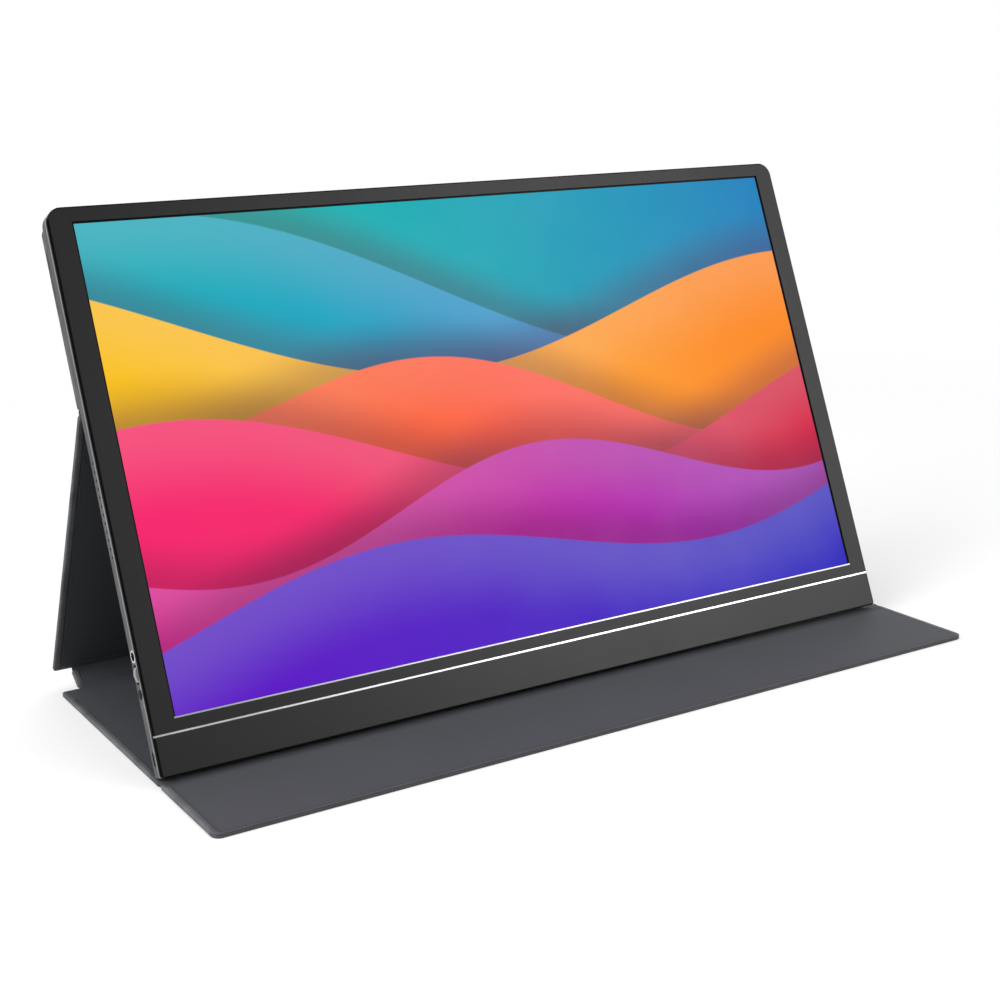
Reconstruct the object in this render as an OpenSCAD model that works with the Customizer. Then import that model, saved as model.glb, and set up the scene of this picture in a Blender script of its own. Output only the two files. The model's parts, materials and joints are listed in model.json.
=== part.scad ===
// Portable monitor standing on its folding folio cover.
// X runs across the screen, Y away from the viewer, Z up. Z = 0 is the table,
// and the origin is under the edge that the monitor stands on.

/* [Monitor] */
// Thickness of the monitor
mon_t = 9; // [8.6:0.1:12]
// Radius of the outline's upper corners
mon_corner_r = 6; // [3:0.5:12]
// Radius of the outline's lower corners
mon_foot_r = 1.5; // [1.2:0.1:6]
// How far the monitor leans back from upright
lean_angle = 22; // [16:0.5:28]

/* [Picture] */
// Width of the picture's window in the bezel
pic_w = 344.2; // [320:0.1:400]
// Height of the picture's window in the bezel
pic_h = 195.6; // [180:0.1:225]
// Width of the bezel beside the picture
side_border = 9.4; // [9:0.1:14]
// Width of the bezel above the picture
top_border = 6.2; // [6:0.1:14]
// Width of the bezel between the picture and the chin
low_border = 5.5; // [4:0.1:10]

/* [Casing] */
// Thickness of the bezel's and the chin's face
face_t = 0.7; // [0.5:0.1:1]
// Depth of the front parts' skirt round the sides
skirt_d = 2; // [1.5:0.1:3]
// Thickness of the side walls
wall_t = 1.2; // [0.8:0.1:1.6]
// Thickness of the rear shell's back
back_t = 1.2; // [1:0.1:1.6]
// Rounding of the front edge
front_edge_r = 0.6; // [0.3:0.1:0.6]
// Rounding of the back edge
back_edge_r = 1.1; // [0.5:0.1:1.2]
// Height of the chin panel
chin_h = 15.6; // [14:0.1:18]
// Height of the bright line between the chin and the bezel
trim_h = 0.7; // [0.4:0.1:1.2]
// Height of the bright line under the picture
pic_trim_h = 0.6; // [0.3:0.1:1]
// Depth of the groove for the line under the picture
pic_trim_d = 0.4; // [0.2:0.1:0.5]

/* [Display] */
// Thickness of the liquid-crystal cell
cell_t = 0.8; // [0.6:0.1:1]
// Thickness of the diffusing films together
film_t = 0.3; // [0.2:0.1:0.5]
// Thickness of the light guide
guide_t = 0.8; // [0.5:0.1:0.9]
// Thickness of the reflecting sheet
reflector_t = 0.2; // [0.1:0.1:0.3]
// Thickness of the tray's floor
tray_t = 0.3; // [0.2:0.1:0.4]
// Thickness of the tray's rim
tray_rim_t = 0.4; // [0.3:0.1:0.8]
// Room between the tray and the side walls
tray_side_room = 3.9; // [3.7:0.1:5]
// Room between the tray and the top wall
tray_top_room = 2.4; // [1:0.1:4]
// Height of the tray's lower edge
tray_z = 13; // [12.5:0.1:15]
// Height of the strip of lamps
led_h = 2.6; // [2:0.1:4]

/* [Boards] */
// Thickness of every circuit board
board_t = 0.8; // [0.6:0.1:1]
// Width of the main board
main_board_w = 106; // [90:1:130]
// Height of the main board
main_board_h = 60; // [56:1:90]
// Height of the main board's lower edge
main_board_z = 14; // [13:0.5:16]
// Width of the control board
ctrl_board_w = 18; // [14:0.5:30]
// Height of the control board
ctrl_board_h = 28; // [27:0.5:32]
// Height of the control board's lower edge
ctrl_board_z = 26; // [25:0.5:27]
// Distance of the driver board's ends from the monitor's sides
driver_board_end = 81.5; // [70:0.5:90]
// Height of the display's driver board
driver_board_h = 8.8; // [6:0.1:9.5]
// Height of the driver board's lower edge
driver_board_z = 2.6; // [2:0.1:3]
// Side of the shielded chip
chip_side = 14; // [10:0.5:18]
// Thickness of the shielded chip
chip_t = 0.8; // [0.6:0.1:0.9]
// Width of the shield cover
shield_w = 30; // [24:1:40]
// Height of the shield cover
shield_h = 26; // [22:1:36]
// Depth of the shield cover
shield_d = 1.3; // [1.2:0.1:1.5]
// Sheet thickness of the shield cover
shield_wall = 0.2; // [0.2:0.1:0.3]
// Thickness of the ribbon cables
ribbon_t = 0.2; // [0.1:0.1:0.3]
// Width of the ribbon to the control board
ctrl_ribbon_w = 8; // [5:0.5:12]
// How far that ribbon reaches over each board
ctrl_ribbon_lap = 7; // [4:0.5:12]
// Width of the ribbon to the driver board
driver_ribbon_w = 15; // [8:0.5:20]
// Distance of that ribbon from the main board's inner end
driver_ribbon_end = 12; // [8:0.5:16]
// How far that ribbon reaches over each board
driver_ribbon_lap = 6; // [3:0.5:8]

/* [Left side] */
// Distance of the sockets' and buttons' centre line from the back
port_from_back = 3.7; // [3.6:0.1:4]
// Height of the audio jack
jack_z = 47.4; // [47.2:0.1:49]
// Radius of the audio jack's bore
jack_r = 1.8; // [1.6:0.05:1.9]
// Length of the audio jack's body
jack_len = 12; // [10:0.5:16]
// Size of the audio jack's body along the side
jack_w = 5.8; // [5:0.1:6]
// Depth of the audio jack's body
jack_d = 4.4; // [4.2:0.1:4.4]
// Outer radius of the bright ring round the jack
ring_r = 2.5; // [2.3:0.05:2.5]
// Thickness of the bright ring
ring_t = 0.5; // [0.3:0.1:0.8]
// Height of the rocker
rocker_z = 40.3; // [40:0.1:40.4]
// Radius from the rocker's pin to its curved cap
rocker_r = 5.5; // [5:0.1:6]
// Length of the rocker's cap along the side
rocker_len = 5.9; // [5:0.1:6]
// Width of the rocker's cap
rocker_w = 2.4; // [1.6:0.1:2.4]
// How far the rocker stands out of the side
rocker_proud = 0.7; // [0.4:0.1:0.8]
// How far the rocker tips each way
rocker_tip = 5; // [2:0.5:6]
// Radius of the rocker's pin
rocker_pin_r = 0.8; // [0.6:0.05:0.9]
// Radius of the rocker's hub
rocker_hub_r = 1.8; // [1.6:0.1:2.4]
// Height of the power button
power_z = 32.7; // [31:0.1:32.8]
// Radius of the power button
power_r = 1.75; // [1.4:0.05:1.8]
// How far the power button stands out of the side
power_proud = 0.2; // [0:0.1:0.5]
// Thickness of the power button's flange
power_flange_t = 0.6; // [0.4:0.1:0.8]
// How far the flange reaches past its hole
power_flange_lip = 0.3; // [0.2:0.05:0.4]
// Depth of the power switch across the monitor's thickness
power_switch_d = 2.5; // [2:0.1:3]
// Length of the power switch along the side
power_switch_len = 3.5; // [3:0.1:4]
// Travel of the power button
power_travel = 0.6; // [0.3:0.1:0.8]
// Height of the small slot near the foot
slot_z = 7.6; // [6:0.1:9]
// Length of the small slot near the foot
slot_len = 5.6; // [3:0.1:7]
// Width of the small slot near the foot
slot_w = 1.6; // [1:0.1:2]

/* [Speakers] */
// Number of sound holes on each side
sound_holes = 12; // [6:1:14]
// Distance between the sound holes
sound_pitch = 3.36; // [2.4:0.01:3.4]
// Radius of the sound holes
sound_r = 0.6; // [0.4:0.05:0.8]
// Height of the middle of the row of sound holes
sound_z = 104.5; // [100:0.5:108]
// Width of a speaker box
speaker_w = 14; // [10:0.5:20]
// Height of a speaker box
speaker_h = 46; // [44:0.5:50]
// Wall of a speaker box round its mouth
speaker_wall = 1.5; // [1:0.1:1.5]
// Depth of a speaker box's mouth
speaker_mouth = 1; // [0.5:0.1:4]

/* [Right side] */
// Height of the upper data socket
usb_high_z = 52; // [51:0.5:60]
// Height of the lower data socket
usb_low_z = 39; // [38:0.5:40]
// Length of a data socket along the side
usb_len = 8.94; // [8.5:0.01:9.2]
// Width of a data socket
usb_wide = 3.2; // [3:0.05:3.4]
// Depth of the sockets into the monitor
socket_depth = 7.4; // [6:0.1:9]
// Sheet thickness of the sockets
socket_wall = 0.3; // [0.2:0.05:0.4]
// Thickness of the sockets' closed end
socket_end = 1; // [0.5:0.1:2]
// Thickness of the contact tongue in a socket
tongue_t = 0.7; // [0.5:0.05:0.8]
// How far the tongue stops short of the socket's mouth
tongue_back = 1; // [0.5:0.1:2]
// Share of the socket's length that the tongue takes
tongue_share = 0.72; // [0.6:0.02:0.8]
// How far the sockets stand back from the side
socket_recess = 0.3; // [0.2:0.05:0.5]
// How far the sockets lie over the main board
socket_lap = 2.5; // [2:0.1:4]
// Height of the video socket
video_z = 25; // [24:0.5:26]
// Length of the video socket along the side
video_len = 11.2; // [10.4:0.1:12]

/* [Fasteners] */
// Radius of the screws' shanks
screw_r = 0.85; // [0.7:0.05:0.9]
// Radius of the screws' heads
screw_head_r = 1.6; // [1.4:0.05:1.6]
// Height of the screws' heads
screw_head_h = 0.5; // [0.3:0.1:0.6]
// Length of the case screws' shanks
case_screw_len = 3.6; // [2:0.1:5]
// Length of the board screws' shanks
board_screw_len = 2.2; // [1.8:0.1:2.4]
// Radius of the posts that the case screws go into
post_r = 1.7; // [1.5:0.05:1.8]
// Distance of the case posts from the tray
post_gap = 0.2; // [0.1:0.05:0.3]
// Distance of the side posts from the speaker boxes and the top wall
post_room = 13.5; // [8:0.5:18]
// Distance of the chin's inner posts from the driver board
chin_post_room = 8; // [4:0.5:12]
// Distance of the chin's outer posts from the sides
chin_post_end = 21.5; // [16:0.5:30]
// Wall of the posts that the boards' screws go into
board_post_wall = 1.2; // [0.8:0.1:1.4]
// Distance of the boards' screws from the boards' edges
screw_inset = 4; // [3:0.1:4.5]
// How much deeper the case posts' holes are than the screws
hole_extra = 0.6; // [0.3:0.1:1]

/* [Cover] */
// Width of the cover
cover_w = 371; // [360:1:390]
// How far the cover's middle lies to the right of the monitor's middle
cover_shift = 4; // [0:0.5:8]
// Thickness of a cover panel
panel_t = 2.2; // [1.8:0.1:2.4]
// Thickness of the outer leather skin
skin_t = 0.6; // [0.4:0.1:0.7]
// Thickness of the inner lining
lining_t = 0.6; // [0.4:0.1:0.7]
// Width of the skin that is turned over the panels' edges
border_w = 3; // [2:0.5:8]
// Width of the turned skin along the flap's front edge
front_border_w = 1; // [0.8:0.1:3]
// Width of the turned skin along a fold
fold_border_w = 0.4; // [0.3:0.1:1]
// Radius of the panels' corners
panel_r = 3.5; // [2:0.5:4]
// Radius of the linings' corners
lining_r = 1; // [0.5:0.1:2]
// Height on the monitor of the fold across its back
mid_fold_z = 144; // [138:1:152]
// Height of the panel that holds the monitor
back_len = 75; // [70:1:78]
// Length of the leg between its two folds
leg_len = 145; // [144:0.5:150]
// Width of the spine between its two folds
spine_w = 12; // [11:0.5:14]
// Angle at which the spine rises from the table
spine_rise = 35; // [25:1:45]
// How far the spine's ends are set in from the sides
spine_inset = 8; // [4:0.5:12]
// Distance of the front fold in front of the standing edge
front_fold = 4; // [3:0.5:6]
// Length of the front flap from its fold
flap_len = 53.5; // [40:0.5:80]
// Half of the gap between two panels at a fold
fold_half = 1.3; // [1.2:0.05:1.6]
// Radius of the soft strip in a fold
fold_r = 0.75; // [0.5:0.05:0.8]
// Thickness of the strip's leaf
leaf_t = 0.8; // [0.5:0.1:1]

/* [Magnets] */
// Radius of the magnets in the cover
magnet_r = 5; // [3:0.5:7]
// Distance between neighbouring magnets across the cover
magnet_pitch = 50; // [30:1:60]
// Distance of the magnets' group from the middle
magnet_group_x = 95; // [70:1:120]
// Heights of the magnets above the middle fold, lower row
magnet_low = 26; // [16:1:30]
// Heights of the magnets above the middle fold, upper row
magnet_high = 52; // [44:1:60]
// Thickness of the steel plates that the magnets hold
plate_t = 0.5; // [0.3:0.1:0.8]
// Margin of the steel plates round the magnets
plate_margin = 3; // [1:0.5:6]

/* [Clearances] */
// Gap under the standing edge
foot_gap = 0.3; // [0.2:0.05:0.5]
// Gap between the monitor's back and the cover
back_gap = 0.3; // [0.2:0.05:0.5]
// Gap between a speaker box and the tray
speaker_gap = 0.3; // [0.2:0.05:0.5]
// Gap round the power button
button_gap = 0.25; // [0.15:0.05:0.3]
// Gap round the rocker's cap and faces
rocker_gap = 0.3; // [0.2:0.05:0.35]
// Radial gap between the rocker and its pin
pin_gap = 0.05; // [0.02:0.01:0.1]
// Gap round a socket in its opening
socket_gap = 0.2; // [0.1:0.05:0.3]
// Gap between a screw's shank and its hole
screw_gap = 0.05; // [0.03:0.01:0.15]
// Gap round the magnets in their board
magnet_gap = 0.1; // [0.05:0.05:0.2]

/* [Hidden] */

$fn = 48;
hull_fn = 32;
eps = 0.01;

// The monitor's outline, from the picture and its borders
pic_z = chin_h + trim_h + low_border;
mon_w = pic_w + 2 * side_border;
mon_h = pic_z + pic_h + top_border;

// Levels through the monitor, from the front (-mon_t) to the back (0)
face_in_y = -mon_t + face_t;
skirt_y = -mon_t + skirt_d;
cell_y = face_in_y + cell_t;
film_y = cell_y + film_t;
guide_y = film_y + guide_t;
reflector_y = guide_y + reflector_t;
tray_y = reflector_y + tray_t;
floor_y = -back_t;
port_y = -port_from_back;
board_front_y = port_y - board_t / 2;
board_back_y = port_y + board_t / 2;

// Inside of the casing and of the display tray
side_x = mon_w / 2;
inner_x = side_x - wall_t;
inner_r = mon_corner_r - wall_t;
tray_x = inner_x - tray_side_room;
tray_top = mon_h - wall_t - tray_top_room;
stack_x = tray_x - tray_rim_t;
stack_z = tray_z + tray_rim_t;
stack_top = tray_top - tray_rim_t;
bezel_z = chin_h + trim_h;

// Sockets, controls and boards
driver_board_x = side_x - driver_board_end;
socket_x = side_x - socket_recess;
socket_back_x = socket_x - socket_depth;
main_board_x1 = socket_back_x + socket_lap;
main_board_x0 = main_board_x1 - main_board_w;
jack_x0 = -inner_x;
jack_x1 = jack_x0 + jack_len;
rocker_x = -side_x - rocker_proud + rocker_r;
rocker_base_x1 = rocker_x + 1.5 * rocker_hub_r;
rocker_slot = rocker_len * cos(rocker_tip) + 2 * rocker_r * sin(rocker_tip);
ctrl_board_x0 = rocker_base_x1 + rocker_gap;
ctrl_board_x1 = ctrl_board_x0 + ctrl_board_w;
power_flange_r = power_r + button_gap + power_flange_lip;
power_flange_x = -inner_x + button_gap;
power_switch_x = power_flange_x + power_flange_t + power_travel + button_gap;
shield_x = main_board_x0 + main_board_w * 0.42;
shield_z = main_board_z + main_board_h / 2;

// Places [x, z] of the posts behind the bezel and the chin, and of the boards' screws
post_x = tray_x + post_gap + post_r;
post_zs = [sound_z - speaker_h / 2 - post_room, sound_z + speaker_h / 2 + post_room,
           mon_h - wall_t - post_room];
bezel_posts = [for (side = [-1, 1], z = post_zs) [side * post_x, z]];
chin_posts = [for (side = [-1, 1], x = [driver_board_x + chin_post_room, side_x - chin_post_end])
                  [side * x, chin_h / 2]];
main_screws = [for (x = [main_board_x0 + screw_inset, main_board_x1 - 2 * screw_inset],
                    z = [main_board_z + screw_inset, main_board_z + main_board_h - screw_inset]) [x, z]];
ctrl_screws = [for (z = [ctrl_board_z + screw_inset, ctrl_board_z + ctrl_board_h - screw_inset])
                    [ctrl_board_x1 - screw_inset, z]];
board_posts = concat(main_screws, ctrl_screws);
board_post_r = screw_r + board_post_wall;

// Places [x, z] of the magnets, z counted from the middle fold
magnets = [for (side = [-1, 1], dx = [-0.5, 0.5], z = [magnet_low, magnet_high])
               [side * magnet_group_x + dx * magnet_pitch, z]];

// Cover: where the folds lie in the side view
cover_x0 = cover_shift - cover_w / 2;
cover_x1 = cover_shift + cover_w / 2;
edge_drop = back_edge_r * (cos(lean_angle) + sin(lean_angle) - 1);
seat_z = panel_t + foot_gap - edge_drop;
half_t = panel_t / 2;
mid_y = (back_gap + half_t) * cos(lean_angle) + mid_fold_z * sin(lean_angle);
mid_z = seat_z + mid_fold_z * cos(lean_angle) - (back_gap + half_t) * sin(lean_angle);
leg_fold_z = half_t + spine_w * sin(spine_rise);
leg_fold_y = mid_y + sqrt(leg_len * leg_len - pow(mid_z - leg_fold_z, 2));
leg_angle = atan((leg_fold_y - mid_y) / (mid_z - leg_fold_z));
spine_fold_y = leg_fold_y - spine_w * cos(spine_rise);
base_len = spine_fold_y + front_fold;

// ---- placing ----

// The monitor's own frame: z up the screen, y = 0 on its back
module on_monitor() { translate([0, 0, seat_z]) rotate([-lean_angle, 0, 0]) children(); }

// A panel's own frame: z along the panel, +y to its outer side, the fold at the origin
module on_back() { on_monitor() translate([0, back_gap + half_t, mid_fold_z]) children(); }
module on_leg() { translate([0, leg_fold_y, leg_fold_z]) rotate([leg_angle, 0, 0]) children(); }
module on_spine() { translate([0, spine_fold_y, half_t]) rotate([spine_rise - 90, 0, 0]) children(); }
module on_base() { translate([0, -front_fold, half_t]) rotate([-90, 0, 0]) children(); }

// ---- shapes ----

module rounded_rect(x0, x1, z0, z1, r) {
    translate([x0 + r, z0]) square([x1 - x0 - 2 * r, z1 - z0]);
    translate([x0, z0 + r]) square([x1 - x0, z1 - z0 - 2 * r]);
    for (x = [x0 + r, x1 - r], z = [z0 + r, z1 - r]) translate([x, z]) circle(r = r);
}

// Flat plate with round corners, from y0 to y1
module plate(x0, x1, z0, z1, y0, y1, r) {
    translate([0, y1, 0]) rotate([90, 0, 0]) linear_extrude(y1 - y0) rounded_rect(x0, x1, z0, z1, r);
}

module box(x0, x1, y0, y1, z0, z1) { translate([x0, y0, z0]) cube([x1 - x0, y1 - y0, z1 - z0]); }

// Round bar along y
module bar_y(x, z, y0, y1, r) { translate([x, y1, z]) rotate([90, 0, 0]) cylinder(h = y1 - y0, r = r); }

// Round bar along x
module bar_x(x0, x1, y, z, r) { translate([x0, y, z]) rotate([0, 90, 0]) cylinder(h = x1 - x0, r = r); }

// Slot shape, long along z, pushed along x
module slot_x(x0, x1, y, z, len, wide) {
    translate([x0, y, z]) rotate([90, 0, 90]) linear_extrude(x1 - x0) {
        square([wide, len - wide], center = true);
        for (s = [-1, 1]) translate([0, s * (len - wide) / 2]) circle(d = wide);
    }
}

// One corner of the casing: a round foot whose edge at y1 (side = 1) or y0 (side = -1) is rounded
module corner_puck(y0, y1, r, edge_r, side) {
    arc = [for (a = [0 : 15 : 90]) [r - edge_r + edge_r * cos(a), y1 - y0 - edge_r + edge_r * sin(a)]];
    turn = side > 0 ? -90 : 90;
    start = side > 0 ? y0 : y1;
    translate([0, start, 0]) rotate([turn, 0, 0])
        rotate_extrude($fn = hull_fn) polygon(concat([[0, 0], [r, 0]], arc, [[0, y1 - y0]]));
}

// The casing's outline as a slab with one soft edge
module soft_slab(y0, y1, edge_r, side) {
    hull() for (x = [-1, 1]) {
        translate([x * (side_x - mon_foot_r), 0, mon_foot_r]) corner_puck(y0, y1, mon_foot_r, edge_r, side);
        translate([x * (side_x - mon_corner_r), 0, mon_h - mon_corner_r])
            corner_puck(y0, y1, mon_corner_r, edge_r, side);
    }
}

// ---- front of the monitor ----

// Face and skirt in one piece, before it is parted into bezel and chin
module front_body() {
    difference() {
        soft_slab(-mon_t, skirt_y, front_edge_r, -1);
        plate(-inner_x, inner_x, wall_t, mon_h - wall_t, face_in_y, skirt_y + eps, inner_r);
    }
}

module posts(places) {
    for (p = places) difference() {
        bar_y(p[0], p[1], face_in_y, floor_y, post_r);
        bar_y(p[0], p[1], -screw_head_h - case_screw_len - hole_extra, floor_y + eps, screw_r + screw_gap);
    }
}

module bezel_frame() {
    color([0.11, 0.11, 0.11]) on_monitor() {
        difference() {
            front_body();
            box(-side_x - eps, side_x + eps, -mon_t - eps, skirt_y + 2 * eps, -eps, chin_h);
            box(-side_x - eps, side_x + eps, -mon_t - eps, face_in_y, chin_h - eps, bezel_z);
            box(-pic_w / 2, pic_w / 2, -mon_t - eps, face_in_y + eps, pic_z, pic_z + pic_h);
            box(-pic_w / 2, pic_w / 2, -mon_t - eps, -mon_t + pic_trim_d, pic_z - pic_trim_h, pic_z + eps);
        }
        posts(bezel_posts);
    }
}

module chin_panel() {
    color([0.15, 0.15, 0.15]) on_monitor() {
        difference() {
            front_body();
            box(-side_x - eps, side_x + eps, -mon_t - eps, skirt_y + 2 * eps, chin_h, mon_h + eps);
        }
        posts(chin_posts);
    }
}

module chin_trim() {
    color([0.8, 0.8, 0.82]) on_monitor() intersection() {
        soft_slab(-mon_t, skirt_y, front_edge_r, -1);
        box(-side_x, side_x, -mon_t, face_in_y, chin_h, bezel_z);
    }
}

module picture_trim() {
    color([0.8, 0.8, 0.82]) on_monitor()
        box(-pic_w / 2, pic_w / 2, -mon_t, -mon_t + pic_trim_d, pic_z - pic_trim_h, pic_z);
}

// ---- display ----

// One sheet of the display between two levels
module stack_sheet(y0, y1, z0 = stack_z) { box(-stack_x, stack_x, y0, y1, z0, stack_top); }

module display_cell() { color([0.75, 0.3, 0.55]) on_monitor() stack_sheet(face_in_y, cell_y); }

module diffuser_films() { color([0.92, 0.92, 0.9]) on_monitor() stack_sheet(cell_y, film_y); }

module light_guide() {
    color([0.85, 0.9, 0.92]) on_monitor() stack_sheet(film_y, guide_y, stack_z + led_h);
}

module reflector_sheet() { color([0.95, 0.95, 0.95]) on_monitor() stack_sheet(guide_y, reflector_y); }

module led_strip() {
    color([0.9, 0.85, 0.5]) on_monitor() box(-stack_x, stack_x, film_y, guide_y, stack_z, stack_z + led_h);
}

module display_tray() {
    color([0.6, 0.6, 0.62]) on_monitor() difference() {
        box(-tray_x, tray_x, face_in_y, tray_y, tray_z, tray_top);
        box(-stack_x, stack_x, face_in_y - eps, reflector_y, stack_z, stack_top);
    }
}

module driver_board() {
    color([0.1, 0.35, 0.2]) on_monitor()
        box(-driver_board_x, driver_board_x, face_in_y, face_in_y + board_t,
            driver_board_z, driver_board_z + driver_board_h);
}

// Ribbon from the driver board, under the tray, to the back of the main board
module driver_ribbon() {
    x0 = main_board_x0 + driver_ribbon_end;
    z_low = driver_board_z + driver_board_h - driver_ribbon_lap;
    y_low = face_in_y + board_t;
    z_turn = (driver_board_z + driver_board_h + tray_z) / 2 - ribbon_t / 2;
    color([0.85, 0.6, 0.25]) on_monitor() {
        box(x0, x0 + driver_ribbon_w, y_low, y_low + ribbon_t, z_low, z_turn + ribbon_t);
        box(x0, x0 + driver_ribbon_w, y_low, board_back_y + ribbon_t, z_turn, z_turn + ribbon_t);
        box(x0, x0 + driver_ribbon_w, board_back_y, board_back_y + ribbon_t,
            z_turn, main_board_z + driver_ribbon_lap);
    }
}

// ---- boards ----

// Holes for a board's screws
module board_holes(places) {
    for (p = places) bar_y(p[0], p[1], board_front_y - eps, board_back_y + eps, screw_r + screw_gap);
}

module main_board() {
    color([0.05, 0.3, 0.2]) on_monitor() difference() {
        box(main_board_x0, main_board_x1, board_front_y, board_back_y,
            main_board_z, main_board_z + main_board_h);
        board_holes(main_screws);
        for (s = [[usb_high_z, usb_len], [usb_low_z, usb_len], [video_z, video_len]])
            box(socket_back_x, main_board_x1 + eps, board_front_y - eps, board_back_y + eps,
                s[0] - s[1] / 2, s[0] + s[1] / 2);
    }
}

module picture_chip() {
    color([0.08, 0.08, 0.09]) on_monitor()
        box(shield_x - chip_side / 2, shield_x + chip_side / 2, board_front_y - chip_t, board_front_y,
            shield_z - chip_side / 2, shield_z + chip_side / 2);
}

module shield_cover() {
    color([0.75, 0.75, 0.77]) on_monitor() difference() {
        box(shield_x - shield_w / 2, shield_x + shield_w / 2, board_front_y - shield_d, board_front_y,
            shield_z - shield_h / 2, shield_z + shield_h / 2);
        box(shield_x - shield_w / 2 + shield_wall, shield_x + shield_w / 2 - shield_wall,
            board_front_y - shield_d + shield_wall, board_front_y + eps,
            shield_z - shield_h / 2 + shield_wall, shield_z + shield_h / 2 - shield_wall);
    }
}

module control_board() {
    color([0.05, 0.3, 0.2]) on_monitor() difference() {
        box(ctrl_board_x0, ctrl_board_x1, board_front_y, board_back_y,
            ctrl_board_z, ctrl_board_z + ctrl_board_h);
        board_holes(ctrl_screws);
        box(ctrl_board_x0 - eps, jack_x1, board_front_y - eps, board_back_y + eps,
            jack_z - jack_w / 2, jack_z + jack_w / 2);
    }
}

module control_ribbon() {
    mid = ctrl_board_z + ctrl_board_h / 2;
    color([0.85, 0.6, 0.25]) on_monitor()
        box(ctrl_board_x1 - ctrl_ribbon_lap, main_board_x0 + ctrl_ribbon_lap,
            board_back_y, board_back_y + ribbon_t, mid - ctrl_ribbon_w / 2, mid + ctrl_ribbon_w / 2);
}

module power_switch() {
    color([0.2, 0.2, 0.2]) on_monitor()
        box(power_switch_x, ctrl_board_x0, port_y - power_switch_d / 2, port_y + power_switch_d / 2,
            power_z - power_switch_len / 2, power_z + power_switch_len / 2);
}

// Base of the rocker, with the pin that it tips on
module rocker_switch() {
    base_y = port_y + rocker_w / 2 + rocker_gap;
    color([0.25, 0.25, 0.26]) on_monitor() {
        box(-inner_x, rocker_base_x1, base_y, floor_y, rocker_z - rocker_len / 2, rocker_z + rocker_len / 2);
        bar_y(rocker_x, rocker_z, port_y - rocker_w / 2 - rocker_gap, base_y + eps, rocker_pin_r);
    }
}

// ---- sockets ----

// Sheet-metal socket with its contact tongue, open to the right
module side_socket(z, len, wide) {
    inner_x0 = socket_back_x + socket_end;
    color([0.7, 0.7, 0.72]) on_monitor() {
        difference() {
            slot_x(socket_back_x, socket_x, port_y, z, len, wide);
            slot_x(inner_x0, socket_x + eps, port_y, z, len - 2 * socket_wall, wide - 2 * socket_wall);
        }
        box(inner_x0 - eps, socket_x - tongue_back, port_y - tongue_t / 2, port_y + tongue_t / 2,
            z - len * tongue_share / 2, z + len * tongue_share / 2);
    }
}

module usb_c_socket_upper() { side_socket(usb_high_z, usb_len, usb_wide); }

module usb_c_socket_lower() { side_socket(usb_low_z, usb_len, usb_wide); }

module mini_video_socket() { side_socket(video_z, video_len, usb_wide); }

module audio_jack() {
    color([0.1, 0.1, 0.1]) on_monitor() difference() {
        box(jack_x0, jack_x1, port_y - jack_d / 2, port_y + jack_d / 2,
            jack_z - jack_w / 2, jack_z + jack_w / 2);
        bar_x(jack_x0 - eps, jack_x1 - socket_end, port_y, jack_z, jack_r);
    }
}

// Bright ring let into the side wall round the jack's mouth
module jack_ring() {
    color([0.85, 0.85, 0.87]) on_monitor() difference() {
        bar_x(-side_x, -side_x + ring_t, port_y, jack_z, ring_r);
        bar_x(-side_x - eps, -side_x + ring_t + eps, port_y, jack_z, jack_r);
    }
}

// Speaker box behind the sound holes of one side, with its mouth turned to them
module speaker(side) {
    x_out = side * inner_x;
    x_in = side * (inner_x - speaker_w);
    x_mouth = side * (inner_x - speaker_mouth);
    y_front = tray_y + speaker_gap;
    color([0.14, 0.14, 0.15]) on_monitor() difference() {
        box(min(x_out, x_in), max(x_out, x_in), y_front, floor_y,
            sound_z - speaker_h / 2, sound_z + speaker_h / 2);
        box(min(x_out + side * eps, x_mouth), max(x_out + side * eps, x_mouth),
            y_front + speaker_wall / 2, floor_y - speaker_wall / 2,
            sound_z - speaker_h / 2 + speaker_wall, sound_z + speaker_h / 2 - speaker_wall);
    }
}

module speaker_left() { speaker(-1); }

module speaker_right() { speaker(1); }

// ---- rear shell and fasteners ----

// Screw with the underside of its head at head_y and its tip towards -side
module screw(x, z, head_y, side, len) {
    top = head_y + side * screw_head_h;
    tip = head_y - side * len;
    bar_y(x, z, min(head_y, top), max(head_y, top), screw_head_r);
    bar_y(x, z, min(head_y, tip), max(head_y, tip), screw_r);
}

module board_screws() {
    color([0.7, 0.7, 0.7]) on_monitor()
        for (p = board_posts) screw(p[0], p[1], board_front_y, -1, board_screw_len);
}

module case_screws() {
    color([0.2, 0.2, 0.2]) on_monitor()
        for (p = concat(bezel_posts, chin_posts)) screw(p[0], p[1], -screw_head_h, 1, case_screw_len);
}

module holding_plates() {
    color([0.6, 0.6, 0.62]) on_monitor() for (side = [-1, 1])
        box(side * magnet_group_x - magnet_pitch / 2 - magnet_r - plate_margin,
            side * magnet_group_x + magnet_pitch / 2 + magnet_r + plate_margin,
            floor_y - plate_t, floor_y,
            mid_fold_z + magnet_low - magnet_r - plate_margin,
            mid_fold_z + magnet_high + magnet_r + plate_margin);
}

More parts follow.
